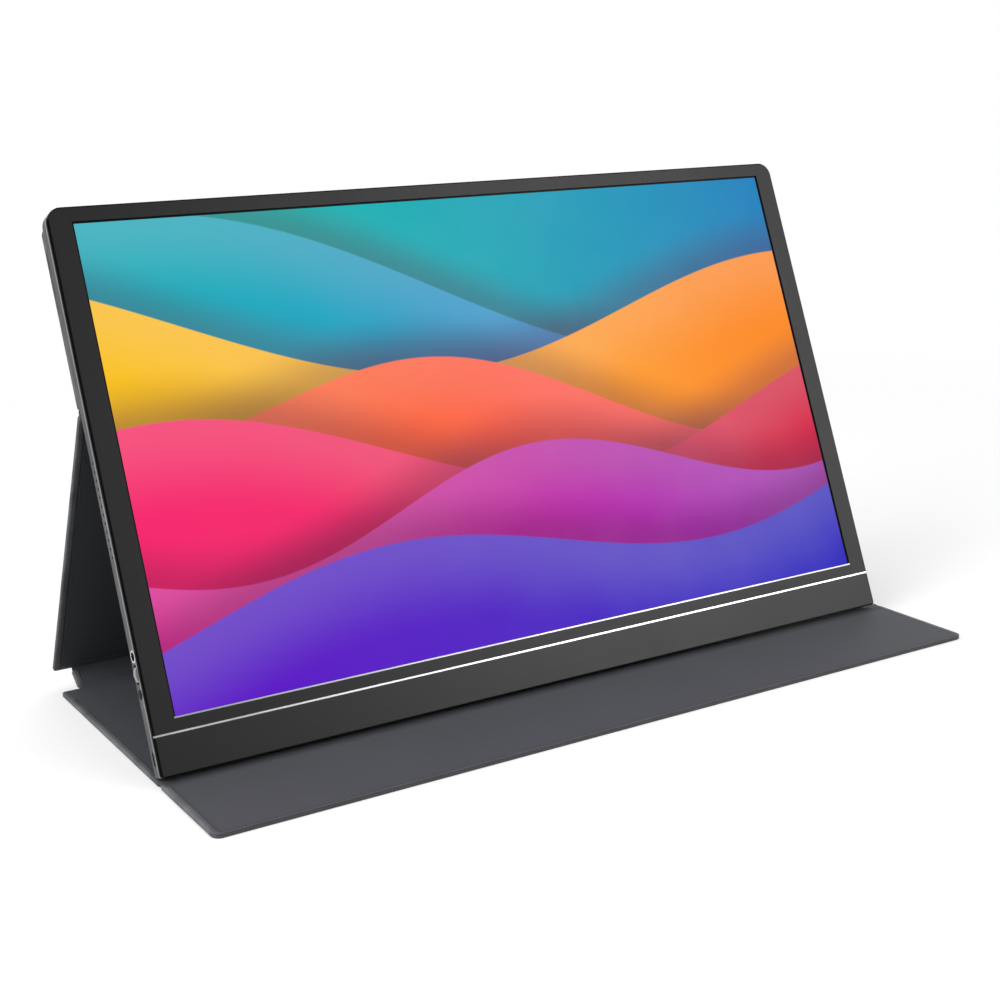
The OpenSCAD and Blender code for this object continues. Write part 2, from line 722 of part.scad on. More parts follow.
module rear_shell() {
    color([0.42, 0.43, 0.45]) on_monitor() {
        difference() {
            soft_slab(skirt_y, 0, back_edge_r, 1);
            plate(-inner_x, inner_x, wall_t, mon_h - wall_t, skirt_y - eps, floor_y, inner_r);
            // screws
            for (p = concat(bezel_posts, chin_posts)) {
                bar_y(p[0], p[1], -screw_head_h, eps, screw_head_r + screw_gap);
                bar_y(p[0], p[1], floor_y - eps, eps, screw_r + screw_gap);
            }
            // sound holes
            for (side = [-1, 1], i = [0 : sound_holes - 1])
                bar_x(side * side_x - wall_t - eps, side * side_x + wall_t + eps, port_y,
                      sound_z + (i - (sound_holes - 1) / 2) * sound_pitch, sound_r);
            // left side
            bar_x(-side_x - eps, -side_x + ring_t, port_y, jack_z, ring_r);
            bar_x(-side_x - eps, -inner_x + eps, port_y, jack_z, jack_r);
            box(-side_x - eps, -inner_x + eps,
                port_y - rocker_w / 2 - rocker_gap, port_y + rocker_w / 2 + rocker_gap,
                rocker_z - rocker_slot / 2 - rocker_gap, rocker_z + rocker_slot / 2 + rocker_gap);
            bar_x(-side_x - eps, -inner_x + eps, port_y, power_z, power_r + button_gap);
            slot_x(-side_x - eps, -inner_x + eps, port_y, slot_z, slot_len, slot_w);
            // right side
            for (s = [[usb_high_z, usb_len], [usb_low_z, usb_len], [video_z, video_len]])
                slot_x(inner_x - eps, side_x + eps, port_y, s[0],
                       s[1] + 2 * socket_gap, usb_wide + 2 * socket_gap);
        }
        // posts for the boards' screws
        for (p = board_posts) difference() {
            bar_y(p[0], p[1], board_back_y, floor_y + eps, board_post_r);
            bar_y(p[0], p[1], board_back_y - eps, floor_y, screw_r + screw_gap);
        }
    }
}

// ---- controls ----

module power_button() {
    color([0.1, 0.1, 0.1]) on_monitor() {
        bar_x(-side_x - power_proud, power_flange_x + eps, port_y, power_z, power_r);
        bar_x(power_flange_x, power_flange_x + power_flange_t, port_y, power_z, power_flange_r);
    }
}

// Curved cap in the side wall, and the hub behind it
module rocker() {
    color([0.6, 0.6, 0.62]) on_monitor() difference() {
        union() {
            intersection() {
                bar_y(rocker_x, rocker_z, port_y - rocker_w / 2, port_y + rocker_w / 2, rocker_r);
                box(rocker_x - rocker_r - eps, rocker_x, port_y - rocker_w / 2, port_y + rocker_w / 2,
                    rocker_z - rocker_len / 2, rocker_z + rocker_len / 2);
            }
            bar_y(rocker_x, rocker_z, port_y - rocker_w / 2, port_y + rocker_w / 2, rocker_hub_r);
        }
        bar_y(rocker_x, rocker_z, port_y - rocker_w / 2 - eps, port_y + rocker_w / 2 + eps,
              rocker_pin_r + pin_gap);
    }
}

// ---- cover panels ----

// Outer skin, turned over the edges, with room for the board and the lining
module panel_skin(z0, z1, x0, x1, low = fold_border_w, high = fold_border_w) {
    color([0.3, 0.31, 0.34]) difference() {
        plate(x0, x1, z0, z1, -half_t, half_t, panel_r);
        panel_core(z0, z1, x0, x1);
        plate(x0 + border_w, x1 - border_w, z0 + low, z1 - high,
              -half_t - eps, -half_t + lining_t + eps, lining_r);
    }
}

// Room for the stiff board between skin and lining
module panel_core(z0, z1, x0, x1) {
    plate(x0 + skin_t, x1 - skin_t, z0 + skin_t, z1 - skin_t,
          -half_t + lining_t, half_t - skin_t, panel_r - skin_t);
}

module panel_board(z0, z1, x0, x1) { color([0.55, 0.5, 0.42]) panel_core(z0, z1, x0, x1); }

// Lining that leaves the turned skin bare: border_w at the sides, low and high at the panel's ends
module panel_lining(z0, z1, x0, x1, low = fold_border_w, high = fold_border_w) {
    color([0.22, 0.23, 0.25])
        plate(x0 + border_w, x1 - border_w, z0 + low, z1 - high, -half_t, -half_t + lining_t, lining_r);
}

// Soft strip in a fold: a roll on the fold's line and a leaf to the panel on side s
module fold_strip(x0, x1, s) {
    color([0.27, 0.28, 0.3]) {
        bar_x(x0 + panel_r, x1 - panel_r, 0, 0, fold_r);
        box(x0 + panel_r, x1 - panel_r, -leaf_t / 2, leaf_t / 2,
            min(0, s * fold_half), max(0, s * fold_half));
    }
}

module back_skin() { on_back() panel_skin(fold_half, back_len, cover_x0, cover_x1, high = border_w); }

module back_board() {
    on_back() difference() {
        panel_board(fold_half, back_len, cover_x0, cover_x1);
        for (m = magnets) bar_y(m[0], m[1], -half_t, half_t, magnet_r + magnet_gap);
    }
}

module back_lining() { on_back() panel_lining(fold_half, back_len, cover_x0, cover_x1, high = border_w); }

module cover_magnets() {
    color([0.65, 0.65, 0.68]) on_back()
        for (m = magnets) bar_y(m[0], m[1], -half_t + lining_t, half_t - skin_t, magnet_r);
}

module leg_skin() {
    on_leg() panel_skin(fold_half, leg_len - fold_half, cover_x0, cover_x1, low = border_w);
}

module leg_board() { on_leg() panel_board(fold_half, leg_len - fold_half, cover_x0, cover_x1); }

module leg_lining() {
    on_leg() panel_lining(fold_half, leg_len - fold_half, cover_x0, cover_x1, low = border_w);
}

module middle_fold_strip() { on_leg() translate([0, 0, leg_len]) fold_strip(cover_x0, cover_x1, -1); }

module spine_skin() {
    on_spine() panel_skin(fold_half, spine_w - fold_half, cover_x0 + spine_inset, cover_x1 - spine_inset);
}

module spine_board() {
    on_spine() panel_board(fold_half, spine_w - fold_half, cover_x0 + spine_inset, cover_x1 - spine_inset);
}

module spine_lining() {
    on_spine() panel_lining(fold_half, spine_w - fold_half, cover_x0 + spine_inset, cover_x1 - spine_inset);
}

module leg_fold_strip() {
    on_spine() translate([0, 0, spine_w]) fold_strip(cover_x0 + spine_inset, cover_x1 - spine_inset, -1);
}

module base_skin() { on_base() panel_skin(fold_half, base_len - fold_half, cover_x0, cover_x1); }

module base_board() { on_base() panel_board(fold_half, base_len - fold_half, cover_x0, cover_x1); }

module base_lining() { on_base() panel_lining(fold_half, base_len - fold_half, cover_x0, cover_x1); }

module spine_fold_strip() {
    on_base() translate([0, 0, base_len]) fold_strip(cover_x0 + spine_inset, cover_x1 - spine_inset, -1);
}

module flap_fold_strip() { on_base() fold_strip(cover_x0, cover_x1, 1); }

module flap_skin() { on_base() panel_skin(-flap_len, -fold_half, cover_x0, cover_x1, low = front_border_w); }

module flap_board() { on_base() panel_board(-flap_len, -fold_half, cover_x0, cover_x1); }

module flap_lining() {
    on_base() panel_lining(-flap_len, -fold_half, cover_x0, cover_x1, low = front_border_w);
}

bezel_frame();
chin_panel();
chin_trim();
picture_trim();
display_cell();
diffuser_films();
light_guide();
reflector_sheet();
led_strip();
display_tray();
driver_board();
driver_ribbon();
main_board();
picture_chip();
shield_cover();
usb_c_socket_upper();
usb_c_socket_lower();
mini_video_socket();
audio_jack();
jack_ring();
speaker_left();
speaker_right();
control_board();
control_ribbon();
power_switch();
rocker_switch();
board_screws();
case_screws();
holding_plates();
rear_shell();
power_button();
rocker();
back_skin();
back_board();
back_lining();
cover_magnets();
leg_skin();
leg_board();
leg_lining();
middle_fold_strip();
spine_skin();
spine_board();
spine_lining();
leg_fold_strip();
base_skin();
base_board();
base_lining();
spine_fold_strip();
flap_fold_strip();
flap_skin();
flap_board();
flap_lining();
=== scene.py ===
"""Looks of a portable monitor that leans on its folding folio cover, and the studio round it.

The packed model is the fixed frame. The cover's skins, linings and folds are made here as surfaces,
and every other piece keeps its solid and gets its finish here. Lengths are in metres.
"""

import json
import math

import bmesh
import bpy
import numpy as np
from bpy.props import FloatProperty, FloatVectorProperty, IntProperty, PointerProperty
from mathutils import Matrix


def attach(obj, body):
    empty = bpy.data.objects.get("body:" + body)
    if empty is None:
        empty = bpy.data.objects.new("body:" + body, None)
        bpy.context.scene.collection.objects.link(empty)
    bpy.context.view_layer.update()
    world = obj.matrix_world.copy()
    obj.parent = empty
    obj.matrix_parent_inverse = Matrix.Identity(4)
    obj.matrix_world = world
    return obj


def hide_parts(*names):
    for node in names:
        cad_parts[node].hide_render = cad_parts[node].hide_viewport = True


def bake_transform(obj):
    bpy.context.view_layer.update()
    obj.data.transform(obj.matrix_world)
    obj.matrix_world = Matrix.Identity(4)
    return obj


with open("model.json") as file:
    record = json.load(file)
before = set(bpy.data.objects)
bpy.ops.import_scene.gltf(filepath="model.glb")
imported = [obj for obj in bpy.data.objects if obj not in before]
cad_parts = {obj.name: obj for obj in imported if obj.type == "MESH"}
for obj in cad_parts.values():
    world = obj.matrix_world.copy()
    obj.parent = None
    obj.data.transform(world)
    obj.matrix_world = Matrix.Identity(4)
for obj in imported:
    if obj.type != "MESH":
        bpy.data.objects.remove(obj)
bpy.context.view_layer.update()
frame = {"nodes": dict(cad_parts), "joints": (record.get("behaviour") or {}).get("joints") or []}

bl_info = {
    "name": "Folio monitor",
    "version": (1, 0, 0),
    "blender": (4, 5, 0),
    "location": "3D View > Sidebar > Folio",
    "description": "Builds the finishes of a portable monitor with a folding folio cover",
    "category": "Object",
}

MM = 0.001
WHITE = (1.0, 1.0, 1.0, 1.0)
BLACK = (0.0, 0.0, 0.0, 1.0)
NODES = frame["nodes"]
JOINTS = {joint["name"]: joint for joint in frame["joints"]}


# ---- reading places from the frame ----

def corners(node):
    """All corner points of a CAD node, one row each."""
    mesh = NODES[node].data
    points = np.zeros(len(mesh.vertices) * 3, np.float32)
    mesh.vertices.foreach_get("co", points)
    return points.reshape(-1, 3).astype(float)


def fold_point(joint):
    """Where a fold's line crosses the side view, as (y, z)."""
    return np.array(JOINTS[joint]["pos_m"][1:3])


def toward(start, end):
    """Unit direction from one side-view point to another."""
    step = end - start
    return step / np.linalg.norm(step)


def outer_side(along):
    """The outer side of a panel that runs along a direction: that direction turned a quarter clockwise."""
    return np.array([along[1], -along[0]])


LIFT = np.array(JOINTS["monitor_lift"]["axis"])
LEAN = math.atan2(LIFT[1], LIFT[2])
FLAT = np.array([1.0, 0.0])
SPINE_RISE = toward(fold_point("spine_fold"), fold_point("leg_fold"))
LEG_RISE = toward(fold_point("leg_fold"), fold_point("middle_fold"))

# panel: body, fold that it starts at, direction away from that fold
PANELS = {
    "flap": ("front_flap", "flap_fold", FLAT),
    "base": ("front_cover", "flap_fold", FLAT),
    "spine": ("spine", "spine_fold", SPINE_RISE),
    "leg": ("leg", "leg_fold", LEG_RISE),
    "back": ("back_panel", "middle_fold", LIFT[1:]),
}
# fold: joint, panel before it, panel after it, CAD strip that it stands for, height of its roll and how far
# it reaches into the panel before it, in millimetres
FOLDS = {
    "flap_fold_web": ("flap_fold", "flap", "base", "flap_fold_strip", 1.0, 3.6),
    "spine_fold_web": ("spine_fold", "base", "spine", "spine_fold_strip", 0.0, 0.9),
    "leg_fold_web": ("leg_fold", "spine", "leg", "leg_fold_strip", 0.0, 0.9),
    "middle_fold_web": ("middle_fold", "leg", "back", "middle_fold_strip", 0.0, 0.9),
}


class PanelPlace:
    """A cover panel's place: x across, z along from its fold, y towards its outer side. borders says how far
    the lining stays back from the panel's right, left, far and near sides."""

    def __init__(self, name):
        self.body, fold, self.along = PANELS[name]
        self.origin = fold_point(fold)
        self.out = outer_side(self.along)
        self.x0, self.x1, self.z0, self.z1, self.half = self.reach(name + "_skin")
        x0, x1, z0, z1, _ = self.reach(name + "_lining")
        self.borders = (self.x1 - x1, x0 - self.x0, self.z1 - z1, z0 - self.z0)
        self.folds = [any(fold[end] == name for fold in FOLDS.values()) for end in (1, 2)]

    def reach(self, node):
        """How far a node reaches across, along and through the panel, with half of its thickness."""
        points = corners(node)
        side = points[:, 1:] - self.origin
        along, out = side @ self.along, side @ self.out
        return points[:, 0].min(), points[:, 0].max(), along.min(), along.max(), (out.max() - out.min()) / 2

    def world(self, x, y, z):
        """Points of the row frame from arrays in the panel's own frame."""
        side_y = self.origin[0] + z * self.along[0] + y * self.out[0]
        side_z = self.origin[1] + z * self.along[1] + y * self.out[1]
        return np.stack([x, side_y, side_z], axis=-1)


def casing_frame():
    """Shift that brings the monitor's turned coordinates to zero at its foot and its back, and its half width
    and height."""
    points = corners("rear_shell")
    turned_y = points[:, 1] * math.cos(LEAN) - points[:, 2] * math.sin(LEAN)
    turned_z = points[:, 1] * math.sin(LEAN) + points[:, 2] * math.cos(LEAN)
    return (0.0, -turned_y.max(), -turned_z.min()), points[:, 0].max(), turned_z.max() - turned_z.min()


CASING_OFFSET, CASING_HALF, CASING_HEIGHT = casing_frame()


# ---- settings that a user would change ----

def srgb(red, green, blue):
    """Linear colour of an sRGB one given from 0 to 255."""
    values = np.array([red, green, blue]) / 255
    low = values / 12.92
    high = ((values + 0.055) / 1.055) ** 2.4
    return tuple(float(v) for v in np.where(values <= 0.04045, low, high))


def length(label, description, millimetres):
    return FloatProperty(name=label, description=description, default=millimetres * MM,
                         min=0.0, unit="LENGTH", subtype="DISTANCE", precision=5)


def colour(label, description, red, green, blue):
    return FloatVectorProperty(name=label, description=description, default=srgb(red, green, blue),
                               size=3, min=0.0, max=1.0, subtype="COLOR")


def amount(label, description, value, high=10.0):
    return FloatProperty(name=label, description=description, default=value, min=0.0, max=high)


def turn(label, description, degrees):
    return FloatProperty(name=label, description=description, default=math.radians(degrees),
                         unit="ROTATION", subtype="ANGLE")


class CoverSizes(bpy.types.PropertyGroup):
    """Sizes of the cover's skins, linings and folds."""
    corner: length("Corner radius", "Radius of the panels' corners", 3.5)
    fold_corner: length("Fold corner radius", "Radius of the panels' corners next to a fold", 1.2)
    inner_corner: length("Inner corner radius", "Least radius of the linings' corners", 0.9)
    border: length("Border", "Width of the skin turned over the panels' edges", 3.0)
    border_round: length("Border rounding", "Width of the rounding of the border's inner edge", 0.95)
    border_drop: length("Border drop", "Depth of the rounding of the border's inner edge", 0.42)
    skin: length("Skin", "Thickness of the outer skin", 0.58)
    lining: length("Lining", "Thickness of the lining", 0.56)
    lining_round: length("Lining rounding", "Rounding of the lining's edge", 0.3)
    lining_recess: length("Lining recess", "How far the lining's face lies below the border", 0.12)
    upper_lip: length("Upper lip", "Height of the lip above the edge's seam", 0.95)
    lip_round: length("Lip rounding", "How far the edge's rounding reaches into the face", 0.85)
    seam: length("Seam depth", "Depth of the seam round the panels' edges", 0.32)
    pleat: length("Pleat depth", "Depth of the small pleats at the turned corners", 0.1)
    sway: length("Sway", "How far the skin's edges wander from straight", 0.05)
    web_end: length("Web end", "How far a fold's ends stay back from the cover's sides", 0.3)
    web_lap: length("Web lap", "How far a fold's web reaches into the panels", 0.9)
    web_out: length("Web outer level", "Level of a fold's web on its outer side", 0.92)
    web_in: length("Web inner level", "Level of a fold's web where it leaves the lining", 0.93)
    web_rise: length("Web rise", "How far a fold's web stands above that level", 0.17)
    web_ripple: length("Web ripple", "Height of the fine wrinkles across a fold", 0.07)
    along: IntProperty(name="Points along a side", description="Points along a panel's long side",
                       default=72, min=8, max=400)
    round_points: IntProperty(name="Points round a corner", description="Points round a panel's corner",
                              default=12, min=4, max=64)


class CasingSizes(bpy.types.PropertyGroup):
    """Sizes on the monitor that its finishes follow."""
    picture_height: length("Picture height", "Height of the picture's window", 195.6)
    dark_line: length("Dark line", "Width of the unlit line round the picture", 0.75)
    grain: length("Grain", "Size of the moulded grain on bezel and chin", 0.35)
    brush: length("Brush marks", "Length of the brush marks on bare metal", 6.0)


class ObjectColours(bpy.types.PropertyGroup):
    """Colours of the object's finishes."""
    leather: colour("Leather", "Outer skin of the cover", 65, 66, 69)
    lining: colour("Lining", "Inner lining of the cover", 66, 68, 72)
    bezel: colour("Bezel", "Frame round the picture", 15, 15, 16)
    chin: colour("Chin", "Panel under the picture", 16, 16, 17)
    trim: colour("Trim", "Bright line over the chin", 140, 140, 142)
    picture_trim: colour("Picture trim", "Bright line under the picture", 112, 112, 115)
    shell: colour("Shell", "Rear shell and its side walls", 68, 69, 72)
    rocker: colour("Rocker", "Rocker's cap", 150, 150, 153)
    button: colour("Button", "Power button", 28, 28, 29)
    ring: colour("Ring", "Ring round the audio jack", 196, 197, 200)
    dark: colour("Dark plastic", "Jack, speakers and switches", 38, 38, 40)
    board: colour("Circuit board", "Circuit boards", 18, 82, 52)
    ribbon: colour("Ribbon", "Ribbon cables", 196, 140, 66)
    steel: colour("Steel", "Sockets, screws and plates", 176, 177, 180)
    card: colour("Card", "Stiff boards in the cover", 168, 156, 132)


class StudioSettings(bpy.types.PropertyGroup):
    """Light, floor and camera."""
    sky_low: amount("Sky at the horizon", "Strength of the sky's light from the sides", 0.25)
    sky_high: amount("Sky overhead", "Strength of the sky's light from above", 0.95)
    key: amount("Key lamp", "Power of the lamp high on the left", 17.0, 200.0)
    front: amount("Front lamp", "Power of the lamp beside the camera", 2.5, 200.0)
    side: amount("Side lamp", "Power of the lamp on the right", 5.0, 200.0)
    shine: amount("Shine lamp", "Power of the lamp that only shows in reflections", 24.0, 200.0)
    top: amount("Top lamp", "Power of the lamp overhead", 3.0, 200.0)
    floor: amount("Floor", "Shade of the floor as it is seen", 0.6, 1.0)
    floor_lift: amount("Floor lift", "How much paler the floor shows than it is lit", 0.36, 1.0)
    floor_bounce: amount("Floor bounce", "Shade of the floor in the light that it throws back", 0.35, 1.0)
    camera_place: FloatVectorProperty(name="Camera place", description="Where the camera stands", size=3,
                                      default=(-0.37665, -0.57354, 0.26002), subtype="TRANSLATION",
                                      unit="LENGTH")
    azimuth: turn("Azimuth", "How far the camera looks to the right of straight ahead", 31.52)
    elevation: turn("Elevation", "How far the camera looks down", 14.36)
    roll: turn("Roll", "How far the camera is rolled", -1.36)
    lens: FloatProperty(name="Lens", description="Focal length of the camera in millimetres",
                        default=60.345, min=1.0)


# ---- surfaces ----

# finer values of the cover's shapes
HAIR = 0.02 * MM  # a gap too small to see
FACE_START = 0.3 * MM  # where a face's points start beyond its rim
WANDER_REACH = 1.2 * MM  # how far in from its edge a skin wanders
PLEATS_IN_TURN = 20
WEAR_AND_HIGHLIGHT_REACH = 2.4 * MM  # how far in from its edge a skin is paler, partly wear and partly painted highlight
END_WEAR_AND_HIGHLIGHT = 0.1  # paler edge at a panel's far and near ends, as a share of that at its sides, where the painted highlight falls
SWELL = 0.012 * MM  # how far a glued lining rises and falls
# how far in from its edge a lining's painted shade reaches
LINING_SHADE_REACH = 0.8 * MM
WEB_POINTS = 33  # points on either side of a fold's web
WEB_RINGS = 300
WEB_ROUND_END = 1.2 * MM
WEB_STEP = 0.12  # share of the web's width in which it rises out of the lining
WEB_FADE = 7 * MM  # how far in from its ends a web's roll grows to its height
RIPPLE, RIPPLE_BEND, RIPPLE_GROUP = 1.7 * MM, 11 * MM, 23 * MM  # lengths of a web's wrinkles


def as_mesh(name, points, faces):
    """New object from an array of points and a list of faces, with all faces turned outwards."""
    mesh = bpy.data.meshes.new(name)
    mesh.from_pydata(points, [], faces)
    work = bmesh.new()
    work.from_mesh(mesh)
    bmesh.ops.recalc_face_normals(work, faces=work.faces)
    work.to_mesh(mesh)
    work.free()
    mesh.polygons.foreach_set("use_smooth", np.ones(len(mesh.polygons), bool))
    thing = bpy.data.objects.new(name, mesh)
    bpy.context.scene.collection.objects.link(thing)
    return thing


def closed_rings(name, rings, close_last=True):
    """Skin over a stack of closed rings: neighbours are joined by four-sided faces, and each end by one face.
    rings has the shape (rings, points of a ring, 3)."""
    count, around = rings.shape[:2]
    ring, step = np.meshgrid(np.arange(count - 1), np.arange(around), indexing="ij")
    here, there = ring * around + step, ring * around + (step + 1) % around
    quads = np.stack([here, there, there + around, here + around], axis=-1).reshape(-1, 4)
    first, last = list(range(around)), list(range((count - 1) * around, count * around))
    ends = [first, last] if close_last else [first]
    return as_mesh(name, rings.reshape(-1, 3), quads.tolist() + ends)


def side_insets(inset, side_border, sizes):
    """Insets along a side whose border has its own width: in even steps from the edge to the lip's end, from
    there to the border's inner edge, and from there as far in as anywhere else."""
    usual = [0, sizes.lip_round, sizes.border, sizes.border + 1]
    return np.interp(inset, usual, [0, min(sizes.lip_round, side_border / 2), side_border, side_border + 1])


def rectangle_rings(place, sizes, inset, turn_points):
    """Rounded rectangles drawn inside each other, one for each of the given insets. A point on a corner is
    the corner's centre plus its two radii in the point's direction, and a point on a side is the mean of the
    two corner ends beside it, weighted by its place. Gives x, z, the direction's angle and whether the point
    is on a corner, each with the shape (rings, points)."""
    right, left, far, near = (side_insets(inset, border, sizes) for border in place.borders)
    x_in, z_in = np.stack([right, left, left, right], -1), np.stack([far, far, near, near], -1)
    far_fold, near_fold = place.folds
    corner = np.where([far_fold, far_fold, near_fold, near_fold], sizes.fold_corner, sizes.corner)
    x_radius = np.maximum(corner - x_in, sizes.inner_corner)
    z_radius = np.maximum(corner - z_in, sizes.inner_corner)
    x_side, z_side = np.array([1, -1, -1, 1]), np.array([1, 1, -1, -1])
    x_centre = np.where(x_side > 0, place.x1, place.x0) - x_side * (x_in + x_radius)
    z_centre = np.where(z_side > 0, place.z1, place.z0) - z_side * (z_in + z_radius)
    width, height = place.x1 - place.x0, place.z1 - place.z0
    short = max(6, int(sizes.along * height / width))
    angles, next_angles, weights, here, there = [], [], [], [], []
    for number, side_points in enumerate((sizes.along, short, sizes.along, short)):
        start, end = number * math.pi / 2, (number + 1) * math.pi / 2
        angles += [np.linspace(start, end, turn_points), np.full(side_points, end)]
        next_angles += [angles[-2], angles[-1]]
        weights += [np.zeros(turn_points), np.arange(1, side_points + 1) / (side_points + 1)]
        here += [np.full(turn_points + side_points, number)]
        there += [np.full(turn_points, number), np.full(side_points, (number + 1) % 4)]
    angle, next_angle, weight, here, there = (
        np.concatenate(part) for part in (angles, next_angles, weights, here, there))

    def corner_point(number, direction):
        return (x_centre[:, number] + x_radius[:, number] * np.cos(direction),
                z_centre[:, number] + z_radius[:, number] * np.sin(direction))

    x_here, z_here = corner_point(here, angle)
    x_there, z_there = corner_point(there, next_angle)
    every = np.ones((len(inset), 1))
    return ((1 - weight) * x_here + weight * x_there, (1 - weight) * z_here + weight * z_there,
            angle * every, (weight == 0) * every)


def lip_arc(depth, low, high, cut_low, cut_high, steps=9):
    """Half-round lip in a panel's edge: an ellipse that reaches in by depth and runs from level low to high.
    cut_low and cut_high say how deep a seam cuts it at either end, where it meets the next lip."""
    start = 0.0 if cut_low is None else math.asin(1 - cut_low / depth)
    end = math.pi if cut_high is None else math.pi - math.asin(1 - cut_high / depth)
    angle = np.linspace(start, end, steps)
    rise = (high - low) / (math.cos(start) - math.cos(end))
    return depth * (1 - np.sin(angle)), low + rise * (math.cos(start) - np.cos(angle))


def face_insets(place, sizes, start, count):
    """Insets from start to just short of the panel's middle line, closer together near the edge."""
    right, left, far, near = place.borders
    room = min(place.x1 - place.x0 - right - left, place.z1 - place.z0 - far - near) / 2
    end = sizes.border + room - sizes.inner_corner - 0.4 * MM
    return start + (end - start) * np.linspace(0, 1, count) ** 1.6


def skin_section(place, sizes):
    """Cross-section of a skin as insets and levels: over the outer face, round the edge with its seam,
    over the border to its rounded inner edge, and back inside at the skin's thickness."""
    half, lip = place.half, sizes.lip_round
    seam = -half + sizes.upper_lip
    face = face_insets(place, sizes, lip + FACE_START, 9)[::-1]
    low_in, low_level = lip_arc(lip, seam, half, sizes.seam, None)
    up_in, up_level = lip_arc(lip, -half, seam, None, sizes.seam)
    quarter = np.linspace(0, math.pi / 2, 7)
    round_in = sizes.border - sizes.border_round + sizes.border_round * np.sin(quarter)
    round_level = -half + sizes.border_drop * (1 - np.cos(quarter))
    border_in = np.linspace(lip + 0.15 * MM, sizes.border - sizes.border_round - 0.15 * MM, 4)
    inner = sizes.skin
    parts = [
        (face, np.full(len(face), half)),
        (low_in[::-1], low_level[::-1]),
        (up_in[::-1][1:], up_level[::-1][1:]),
        (border_in, np.full(4, -half)),
        (round_in, round_level),
        (np.array([sizes.border, inner * 1.6, inner * 1.1, inner * 1.1, inner * 1.6]),
         np.array([-half + inner, -half + inner, -half + inner * 1.4, half - inner * 1.4, half - inner])),
        (face[::-1][1:], np.full(len(face) - 1, half - inner)),
    ]
    return np.concatenate([p[0] for p in parts]), np.concatenate([p[1] for p in parts])


def lining_section(place, sizes):
    """Cross-section of a lining as insets and levels: a sheet with a rounded rim on its open side."""
    half, edge = place.half, sizes.border + HAIR
    quarter = np.linspace(0, math.pi / 2, 6)
    face = face_insets(place, sizes, edge + sizes.lining_round + FACE_START, 12)
    under, top = -half + sizes.lining, -half + sizes.lining_recess
    inset = np.concatenate([
        face[::-1], [edge], edge + sizes.lining_round * (1 - np.cos(quarter)), face])
    level = np.concatenate([
        np.full(len(face) + 1, under),
        top + sizes.lining_round * (1 - np.sin(quarter)), np.full(len(face), top)])
    return inset, level


def wander(along, seed, size):
    """Slow waves along a length: three sines of unrelated wavelengths whose phases follow the seed."""
    waves = np.array([0.041, 0.017, 0.0073])
    shares = np.array([0.55, 0.3, 0.15])
    phases = np.array([1.7, 4.1, 2.3]) * (seed + 1)
    return size * (np.sin(2 * math.pi * along[..., None] / waves + phases) * shares).sum(-1)


def mark_points(thing, name, values):
    """Stores one number for each point of a mesh, for its material."""
    attribute = thing.data.attributes.new(name, "FLOAT", "POINT")
    attribute.data.foreach_set("value", np.ascontiguousarray(values, np.float32).ravel())


def make_skin(name, sizes):
    """Skin of one panel: rounded rectangles carried along the skin's cross-section. The edge wanders a
    little, and the border is drawn down in small pleats round the corners."""
    place = PanelPlace(name)
    inset, level = skin_section(place, sizes)
    x, z, angle, on_corner = rectangle_rings(place, sizes, inset, sizes.round_points * 2 + 1)
    level = level[:, None] * np.ones_like(x)
    inset = inset[:, None] * np.ones_like(x)
    on_border = (level < -place.half + HAIR) & (inset < sizes.border)
    pleats = (0.5 + 0.5 * np.cos(angle * PLEATS_IN_TURN)) ** 3 * np.clip(inset / sizes.corner, 0, 1)
    level = level + np.where(on_border, sizes.pleat * pleats * on_corner, 0)
    near_edge = np.exp(-((inset / WANDER_REACH) ** 2))
    seed = list(PANELS).index(name)
    x = x - np.cos(angle) * near_edge * np.abs(wander(z, seed, sizes.sway))
    z = z - np.sin(angle) * near_edge * np.abs(wander(x, seed + 3, sizes.sway))
    thing = closed_rings(name + "_leather", place.world(x, level, z))
    # the paler edge is partly wear and partly painted highlight, strongest on the sides where light falls on
    # the rounded edge
    side_wear_and_highlight = END_WEAR_AND_HIGHLIGHT + (1 - END_WEAR_AND_HIGHLIGHT) * np.abs(np.cos(angle))
    mark_points(thing, "edge", np.exp(-((inset / WEAR_AND_HIGHLIGHT_REACH) ** 2)) * side_wear_and_highlight)
    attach(thing, place.body)
    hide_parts(name + "_skin")
    return thing


def make_lining(name, sizes):
    """Lining of one panel: rounded rectangles carried along the lining's cross-section, its face hardly
    raised and lowered as glued cloth is."""
    place = PanelPlace(name)
    inset, level = lining_section(place, sizes)
    x, z, _, _ = rectangle_rings(place, sizes, inset, sizes.round_points)
    level = level[:, None] * np.ones_like(x)
    seed = list(PANELS).index(name)
    open_face = level < -place.half + sizes.lining_recess + 0.05 * MM
    swell = wander(x * 0.6 + z, seed, SWELL) + wander(z * 0.8 - x * 0.3, seed + 7, SWELL)
    level = level + np.where(open_face, np.abs(swell), 0)
    thing = closed_rings(name + "_inner_lining", place.world(x, level, z))
    # painted shade by the lining's edge, in the groove next to the border
    from_edge = (inset[:, None] - sizes.border) * np.ones_like(x)
    mark_points(thing, "edge", np.exp(-((from_edge / LINING_SHADE_REACH) ** 2)))
    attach(thing, place.body)
    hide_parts(name + "_lining")
    return thing


def hermite(start, end, leave, arrive, steps):
    """Curve from start to end that leaves along one direction and arrives along another: the cubic whose
    two slopes are those directions times the distance between the ends."""
    t = np.linspace(0, 1, steps)[:, None]
    reach = np.linalg.norm(end - start)
    return ((2 * t**3 - 3 * t**2 + 1) * start + (t**3 - 2 * t**2 + t) * leave * reach
            + (3 * t**2 - 2 * t**3) * end + (t**3 - t**2) * arrive * reach)


